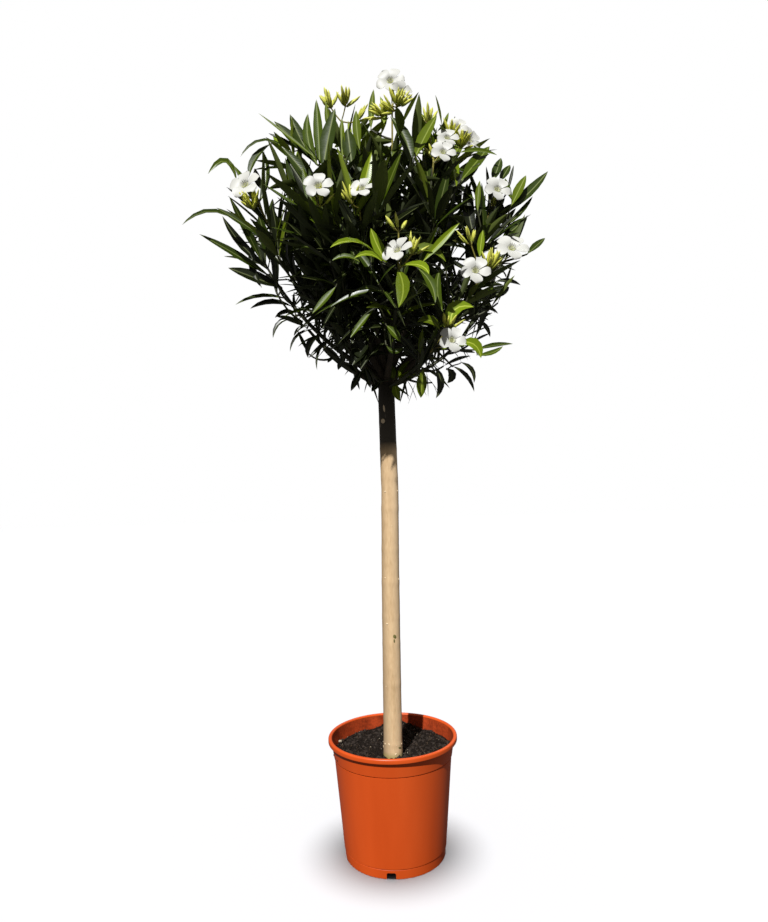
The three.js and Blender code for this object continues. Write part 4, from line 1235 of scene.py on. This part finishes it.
def leafAt(line, t, share, turn, roll):
    rule = leafRule
    axis = line.heading(t)
    root = line.at(t)
    radial = turnedAbout(axis, line.normal, turn)
    lean = math.radians(mix(rule["openAngle"], rule["closeAngle"], share) + rule["scatter"] * (roll() - 0.5))
    along = axis * math.cos(lean) + radial * math.sin(lean)
    flat = axis * math.sin(lean) - radial * math.cos(lean)
    upper = turnedAbout(along, flat, rule["twist"] * (roll() - 0.5))
    rise = smoothStep(root.z, rule["lowZ"], rule["fullZ"])
    grownShare = mix(rule["lowShare"], 1, rise) * mix(rule["firstShare"], 1, share)
    length = rule["length"] * grownShare * mix(*rule["lengthSpread"], roll())
    broad = mix(rule["lowWidth"], 1, smoothStep(root.z, rule["broadZ"], rule["wideZ"]))
    ratio = mix(rule["narrow"], rule["width"], clamp(0.3 + 0.7 * share) * broad)
    ratio *= mix(*rule["widthSpread"], roll())
    sag = mix(rule["openSag"], rule["closeSag"], share) * mix(*rule["sagSpread"], roll())
    sag *= mix(rule["lowSag"], 1, rise)
    side = upper.cross(along)
    droop = -up * (length * sag) + side * (length * rule["sideBow"] * (roll() - 0.5))
    return {
        "root": root, "along": along, "upper": upper, "side": side, "droop": droop, "lift": Vector(),
        "length": length, "half": length * ratio / 2}


def leavesWithPlace():
    leaves = {leafTone: [] for leafTone in leafTones}
    for leafTone, rows in shownLeaves.items():
        for row in rows:
            root, tip = Vector(row[0:3]), Vector(row[3:6])
            bow, width = row[6:]
            chord = tip - root
            left = Vector((-chord.z, 0, chord.x)).normalized() * (4 * bow)
            along = chord.normalized()
            broad = mix(leafRule["lowBroad"], 1, smoothStep(root.z, *leafRule["lowBroadZ"]))
            upper = (shownTurn - along * shownTurn.dot(along)).normalized()
            leaves[leafTone].append({
                "root": root, "along": along, "upper": upper, "side": upper.cross(along),
                "length": chord.length, "half": width * broad / 2, "droop": -left, "lift": left})
    return leaves


def shownStems(leaves):
    # a shoot from the nearest limb to each group of the leaves with a known place
    rule, steps = stemRule, stemRule["steps"]
    groups = []
    for leaf in leaves:
        near = [group for group in groups if (group["at"] - leaf["root"]).length < rule["near"]]
        if near:
            near[0]["leaves"].append(leaf)
        else:
            groups.append({"at": leaf["root"], "leaves": [leaf]})
    limbs = [
        item["line"].at(item["last"] * k / 20)
        for plan in plans for item in plan["lines"] for k in range(21)]
    stems = []
    for group in groups:
        at = group["at"]
        heading = sum((leaf["along"] for leaf in group["leaves"]), Vector()).normalized()
        foot = min(limbs, key=lambda point: (point - at).length - 0.5 * (at - point).dot(heading))
        way = at - foot
        bend = foot.lerp(at, 0.5) + way.cross(heading).cross(way) * (-0.1 / max(1, way.length))
        stem = Line(foot, bend, at)
        stems.append([
            (stem.at(k / steps), mix(rule["footGirth"], rule["tipGirth"], k / steps))
            for k in range(steps + 1)])
        for leaf in group["leaves"]:
            stems.append([(at, rule["forkGirth"]), (leaf["root"] + leaf["along"] * 3, rule["stalkGirth"])])
    return stems


placedLeaves = leavesWithPlace()


def spotsKeptClear():
    # seen from the open side: across, high, depth and how wide
    spots = []
    for flowersShown, clusters in shownHeads.values():
        for point, look, size in flowersShown:
            spots.append((*seenAt(Vector(point)), point[1], 27 * size))
        for point, count in clusters:
            spots.append((*seenAt(Vector(point) + up * 8), point[1], 16))
    for leafTone in ("mid", "olive", "young"):
        for leaf in placedLeaves[leafTone]:
            for share in (0.2, 0.4, 0.6, 0.8, 0.95):
                point = leafPoint(leaf, share)
                spots.append((*seenAt(point), point.y - 4, 12))
    return np.array(spots)


keptClear = spotsKeptClear()


def leavesOfCrown():
    leaves = {leafTone: list(found) for leafTone, found in placedLeaves.items()}
    for plan in plans:
        roll = plan["roll"]
        for item in plan["lines"]:
            line = item["line"]
            stretch = (item["to"] - item["from"]) * line.length
            inner = (line.at(0.5) - crownHeart).length < leafRule["heart"]
            count = max(2, round(stretch / leafRule["heartSpacing" if inner else "spacing"]))
            # a shoot ends at its last leaf, unless it carries a head of blossom
            item["last"] = 1 if line is plan["leader"] and plan["row"]["stalk"] else 0
            for i in range(count + 1):
                share = i / count
                t = mix(item["from"], item["to"], share)
                leafTone = sprayToneAndPaintedLight(line.at(t), share, roll())
                for k in range(leafRule["whorl"]):
                    turn = ((2 * k + i) * math.pi) / 3 + 0.5 * roll()
                    leaf = fitted(leafAt(line, min(t, leafRule["lastLeaf"]), share, turn, roll))
                    if leaf and not isMissing(leaf, roll):
                        leaves[leafTone].append(leaf)
                        item["last"] = max(item["last"], t)
    return leaves


crownLeaves = leavesOfCrown()


def makeShoots():
    twigs, stalks = [], []
    steps = shootRule["steps"]
    for plan in plans:
        leader, start = plan["leader"], plan["start"]
        first, *others = plan["lines"]
        stalk = first["to"]
        last = min(stalk, first["last"])
        twigLine = [(leader.at(t), girthAt(start, t)) for t in limbShares if start - 0.02 <= t <= last]
        stalkLine = [
            (leader.at(t), min(girthAt(start, t), limbRule["stalkRadius"]))
            for t in limbShares if t >= stalk - limbRule["overlap"]]
        if len(twigLine) > 1:
            twigs.append(twigLine)
        if len(stalkLine) > 1 and stalk < 1:
            stalks.append(stalkLine)
        for item in others:
            if item["last"]:
                twigs.append([
                    (item["line"].at(item["last"] * k / steps),
                     mix(shootRule["footRadius"], shootRule["tipRadius"], k / steps))
                    for k in range(steps + 1)])
    settle(skinned("twigs", twigs, twigFinish), "foliage", *massNodes)
    stems = shownStems([leaf for found in placedLeaves.values() for leaf in found])
    settle(skinned("sideShoots", stems, twigFinish), "foliage", *massNodes)
    return stalks


stalkLines = makeShoots()


def makeLeaves():
    total = 0
    for leafTone, leaves in crownLeaves.items():
        turns, sizes = [], []
        for leaf in leaves:
            turns += list(Matrix((leaf["along"], leaf["side"], leaf["upper"])).transposed().to_quaternion())
            sizes += [leaf["length"] * mm, leaf["half"] * mm, leaf["half"] * mm]
        mesh = pointsOf("leafPoints", [leaf["root"] for leaf in leaves], turns, sizes)
        ways = {"way": [leaf["along"] * leaf["length"] for leaf in leaves]}
        for key in ("lift", "droop", "upper"):
            ways[key] = [leaf[key] for leaf in leaves]
        for name, vectors in ways.items():
            setValues(mesh, name, "FLOAT_VECTOR", [value * mm for vector in vectors for value in vector])
        blade, rib, under = leafFinish[leafTone]
        obj = newObject(leafTone + "Leaves", mesh)
        grown(obj, leafSprays, {"Leaf": leafShape, "Blade": blade, "Midrib": rib, "Underside": under})
        settle(obj, "foliage", *massNodes)
        total += len(leaves)
    bpy.data.objects.remove(leafShape)
    print("leaves", total)


makeLeaves()


bloom = {
    "tube": 17, "petals": 5, "reach": 32, "pedicel": 0.9, "budsPerHead": 12,
    "flowerLean": (0.5, 0.95), "budLean": (0.1, 0.75), "clusterLean": (0.05, 1.0),
    "budLength": (18, 32), "budRadius": (2.4, 3.7), "budReach": (12, 30), "clusterReach": (4, 16),
    "cupRadius": 2.6, "cupLength": 18,
}


def meshShape(name, verts, faces, sharp=True):
    mesh = bpy.data.meshes.new(name)
    mesh.from_pydata([tuple(v) for v in verts], [], faces)
    work = bmesh.new()
    work.from_mesh(mesh)
    bmesh.ops.recalc_face_normals(work, faces=work.faces)
    work.to_mesh(mesh)
    work.free()
    mesh.shade_smooth()
    if sharp:
        mesh.set_sharp_from_angle(angle=math.radians(60))
    return newObject(name, mesh)


def petalShape(name, seed):
    # one petal of a flower that faces up z, from the throat outwards along x, twisted like a pinwheel
    dice = np.random.default_rng(seed)
    stations = ((5.5, 3.6, 0, -1.0), (9, 6.2, 0.6, 2.0), (14, 9.6, 1.6, 3.6), (19.5, 12.0, 2.4, 4.0),
                (24.5, 11.4, 3.0, 3.4), (28, 8.0, 3.2, 2.4), (29.6, 4.0, 3.0, 1.4))
    across = (-1, -0.5, 0, 0.5, 1)
    wave = dice.uniform(-1, 1, (len(stations), len(across)))
    verts, faces = [], []
    for layer in (0.22, -0.22):
        for i, (x, half, shift, z) in enumerate(stations):
            for j, share in enumerate(across):
                outer = x / 30
                ruffle = 0.9 * wave[i, j] * abs(share) * outer
                bow = 1.3 * share * share * outer
                twist = -1.6 * share * outer
                height = z + ruffle + bow + twist + layer
                verts.append((x * (1 - 0.05 * share * share), shift + half * share, height))
    rows, cols = len(stations), len(across)
    size = rows * cols
    for i in range(rows - 1):
        for j in range(cols - 1):
            a = i * cols + j
            faces.append((a, a + 1, a + cols + 1, a + cols))
            faces.append((size + a, size + a + cols, size + a + cols + 1, size + a + 1))
    ring = list(range(cols)) + [i * cols + cols - 1 for i in range(1, rows)]
    ring += [(rows - 1) * cols + j for j in range(cols - 2, -1, -1)]
    ring += [i * cols for i in range(rows - 2, 0, -1)]
    for a, b in zip(ring, ring[1:] + ring[:1]):
        faces.append((a, b, size + b, size + a))
    return meshShape(name, [Vector(v) * mm for v in verts], faces)


def turnedShape(name, profile, sides):
    return newObject(name, lathe(name, profile, sides, closed=False))


def coneRing(name, count, inner, outer, low, high, width):
    # pointed strips in a ring, for sepals and for the fringe of the throat
    verts, faces = [], []
    stations = (
        (inner, low, width * 0.7), ((inner + outer) / 2, (low + high) / 2, width), (outer, high, 0.12))
    for k in range(count):
        out = outwards(2 * math.pi * k / count)
        side = up.cross(out)
        first = len(verts)
        for radius, height, half in stations:
            middle = out * radius + up * height
            verts += [middle - side * half, middle + out * 0.35, middle + side * half, middle - out * 0.35]
        for i in range(2):
            for j in range(4):
                a, b = first + 4 * i + j, first + 4 * i + (j + 1) % 4
                faces.append((a, b, b + 4, a + 4))
        for end in (0, 8):
            faces.append(tuple(first + end + j for j in range(4)))
    return meshShape(name, [v * mm for v in verts], faces)


def budShape():
    # a furled spindle along z
    profile = ((0.0, 0.0), (0.62, 0.03), (0.80, 0.16), (1.0, 0.38), (0.86, 0.64), (0.46, 0.86), (0.0, 1.0))
    sides = 6
    verts, faces = [], []
    for radius, height in profile:
        if radius == 0:
            verts.append(Vector((0, 0, height)))
            continue
        for k in range(sides):
            a = 2 * math.pi * k / sides + 1.1 * height
            r = radius * (1.12 if k % 2 else 0.92)
            verts.append(Vector((r * math.cos(a), r * math.sin(a), height)))
    rings = len(profile) - 2
    for row in range(rings - 1):
        for k in range(sides):
            n = (k + 1) % sides
            a, b = 1 + row * sides, 1 + (row + 1) * sides
            faces.append((a + k, a + n, b + n, b + k))
    last = 1 + (rings - 1) * sides
    for k in range(sides):
        n = (k + 1) % sides
        faces.append((0, 1 + n, 1 + k))
        faces.append((last + k, last + n, len(verts) - 1))
    return meshShape("budShape", verts, faces, sharp=False)


def makePlaceTree():
    tree, given = newTree("setInPlace", [("Shape", "Object", None), ("Finish", "Material", None)])
    return endTree(tree, addCopies(tree, given, "Shape"), given["Finish"])


setInPlace = makePlaceTree()


def placed(name, shape, finish, spots):
    # spots are (point in mm, axis that the shape's z takes, spin about it, size or sizes)
    turns, sizes = [], []
    for point, axis, spin, size in spots:
        turns += list(axis.to_track_quat("Z", "Y") @ Quaternion(up, spin))
        sizes += list(size) if isinstance(size, (tuple, list)) else [size] * 3
    obj = newObject(name, pointsOf(name, [spot[0] for spot in spots], turns, sizes))
    grown(obj, setInPlace, {"Shape": shape, "Finish": finish})
    bpy.data.objects.remove(shape)
    return obj


def joined(name, pieces):
    # one mesh from several objects, each with its own finish
    first = pieces[0]
    chosen = {"selected_objects": pieces, "selected_editable_objects": pieces}
    with bpy.context.temp_override(active_object=first, object=first, **chosen):
        bpy.ops.object.join()
    first.name = name
    return first


def makeStemMarks():
    # the pale ends of shed twigs, by height and bearing, many of them low down, two painted sun flecks high
    # on the stem, and three green scars
    spots = [
        (830, -99), (779, -124), (780, -29), (706, -78), (596, -127), (591, -25), (499, -117), (368, -131),
        (655, 60), (540, 120), (430, 20), (885, 70), (330, 85)]
    roll = seeded(77)
    spots += [(mix(242, 249, roll()), 360 * k / 9 + 30 * roll()) for k in range(9)]
    spots += [(mix(228, 239, roll()), 360 * k / 3 + 60 * roll()) for k in range(3)]

    def onStem(height, bearing, deep):
        out = outwards(math.radians(bearing))
        return trunkAt(height) + out * (trunkRadius(height) - deep), out

    dome = ((2.6, -0.8), (2.4, 0.3), (1.5, 1.1), (0, 1.3))
    nubsAndFlecks = []
    for height, bearing in spots:
        point, out = onStem(height, bearing, 0.2)
        size = mix(0.35, 1.05, roll())
        nubsAndFlecks.append((point, out, anySpin * roll(), (size, size * mix(0.6, 1.6, roll()), size)))
    # two pale marks high on the stem, in the crown's shadow, are painted sun flecks shaped as nubs
    for height, bearing, size in ((958, -110, (0.9, 3.6, 0.5)), (931, -122, (2.0, 2.2, 0.8))):
        point, out = onStem(height, bearing, 0.3)
        nubsAndFlecks.append((point, out, 0.1, size))
    settle(placed("stemNubs", turnedShape("nubShape", dome, 10), nubAndFleckFinish, nubsAndFlecks), "bark", "trunk")
    scars = [
        (*onStem(height, bearing, deep), spin, size) for height, bearing, deep, spin, size in (
            (472, -68, 0.4, 0.3, (1.5, 2.2, 0.8)), (463, -72, 0.4, 0.0, (0.8, 2.2, 0.7)),
            (239, -44, 0.3, 1.2, (0.9, 1.7, 0.8)))]
    settle(placed("stemScar", turnedShape("scarShape", dome, 10), scarFinish, scars), "bark", "trunk")


makeStemMarks()
paleLump = placed(
    "paleLump", crumbShape("paleCrumb", 33, (1, 0.8, 0.6)), fleckFinish,
    [(Vector((-117, 30, 226)), up, 0.4, 0.010)])
settle(paleLump, "soil", "soil")


def leant(axis, side, turn, lean):
    # away from an axis by one angle, and round it by another
    return axis * math.cos(lean) + turnedAbout(axis, side, turn) * math.sin(lean)


def addBud(buds, pedicels, foot, base, point, roll):
    length = mix(*bloom["budLength"], roll())
    radius = mix(*bloom["budRadius"], roll())
    buds.append((base, point, anySpin * roll(), (radius * mm, radius * mm, length * mm)))
    pedicels.append([(foot, 1.1), (foot.lerp(base, 0.6), 0.7), (base + point * 1.5, 0.9)])


def headsOfCrown():
    flowers, buds, pedicels = [], [], list(stalkLines)
    for index, plan in enumerate(plans):
        row, leader = plan["row"], plan["leader"]
        if not row["stalk"]:
            continue
        axis = leader.heading(1)
        foot = leader.at(1)
        roll = seeded(6151 * (index + 11))
        if row["name"] in shownHeads:
            shown, clusters = shownHeads[row["name"]]
            for point, look, size in shown:
                center, look = Vector(point), Vector(look).normalized()
                flowers.append((center, look, anySpin * roll(), size))
                base = center - look * bloom["tube"] * size
                pedicels.append([(foot, 1.3), (foot.lerp(base, 0.5) - up * 2, bloom["pedicel"]), (base, 1.2)])
            for cluster, count in clusters:
                middle = Vector(cluster)
                spread = (middle - foot).normalized() + up * 0.8
                spread.normalize()
                neck = middle - spread * 16
                side = spread.cross(east).normalized()
                pedicels.append([(foot, 1.6), (foot.lerp(neck, 0.5) - up * 2, 1.4), (neck, 1.5)])
                for i in range(count):
                    lean = mix(*bloom["clusterLean"], roll())
                    facing = leant(spread, side, golden * i + roll(), lean)
                    base = neck + facing * mix(*bloom["clusterReach"], roll())
                    addBud(buds, pedicels, neck, base, (facing + up * 0.35).normalized(), roll)
            continue
        for i in range(row["flowers"] + bloom["budsPerHead"]):
            isFlower = i < row["flowers"]
            lean = mix(*bloom["flowerLean" if isFlower else "budLean"], roll())
            facing = leant(axis, leader.normal, golden * i + roll(), lean)
            if isFlower:
                reach = bloom["reach"] * mix(0.75, 1.25, roll())
                center = foot + facing * reach
                look = (facing + up * 0.25).normalized()
                flowers.append((center, look, anySpin * roll(), mix(0.88, 1.05, roll())))
                base = center - look * bloom["tube"] * 0.9
                pedicels.append([(foot, 1.3), (foot + facing * (reach * 0.4), bloom["pedicel"]), (base, 1.2)])
            else:
                base = foot + facing * mix(*bloom["budReach"], roll())
                addBud(buds, pedicels, foot, base, (facing + up * 0.35).normalized(), roll)
    return flowers, buds, pedicels


def makeBlossom():
    flowers, buds, pedicels = headsOfCrown()
    variants = [[], [], []]
    for number, (center, look, spin, size) in enumerate(flowers):
        for k in range(bloom["petals"]):
            variants[(number + k) % 3].append((center, look, spin + 2 * math.pi * k / bloom["petals"], size))
    petals = [
        placed("petals", petalShape("petal", 20 + k), petalFinish, spots) for k, spots in enumerate(variants)]
    fringe = placed("fringe", coneRing("fringeShape", 10, 3.6, 6.2, 0.5, 7.5, 0.9), petalFinish, flowers)
    settle(joined("petals", petals + [fringe]), "foliage", *massNodes)
    funnel = (
        (0.9, -17), (1.9, -16), (2.6, -9), (4.2, -4), (6.6, 0.4), (6.1, 0.5), (3.8, -3.4), (2.0, -9),
        (0.0, -11))
    throats = placed("throats", turnedShape("throatShape", funnel, 12), throatFinish, flowers)
    settle(throats, "foliage", *massNodes)
    cups = [(center - look * bloom["tube"] * size, look, spin, size) for center, look, spin, size in flowers]
    # a bud's cup follows the bud's own girth and length
    for base, point, spin, (radius, _, length) in buds:
        wide, tall = radius / mm / bloom["cupRadius"], length / mm / bloom["cupLength"]
        cups.append((base - point * 0.5, point, spin, (wide, wide, tall)))
    calyces = placed("calyces", coneRing("calyxShape", 5, 1.5, 2.7, -0.8, 6.0, 1.15), calyxFinish, cups)
    settle(calyces, "foliage", *massNodes)
    settle(placed("buds", budShape(), budFinish, buds), "foliage", *massNodes)
    settle(skinned("flowerStalks", pedicels, stalkFinish), "foliage", *massNodes)


makeBlossom()
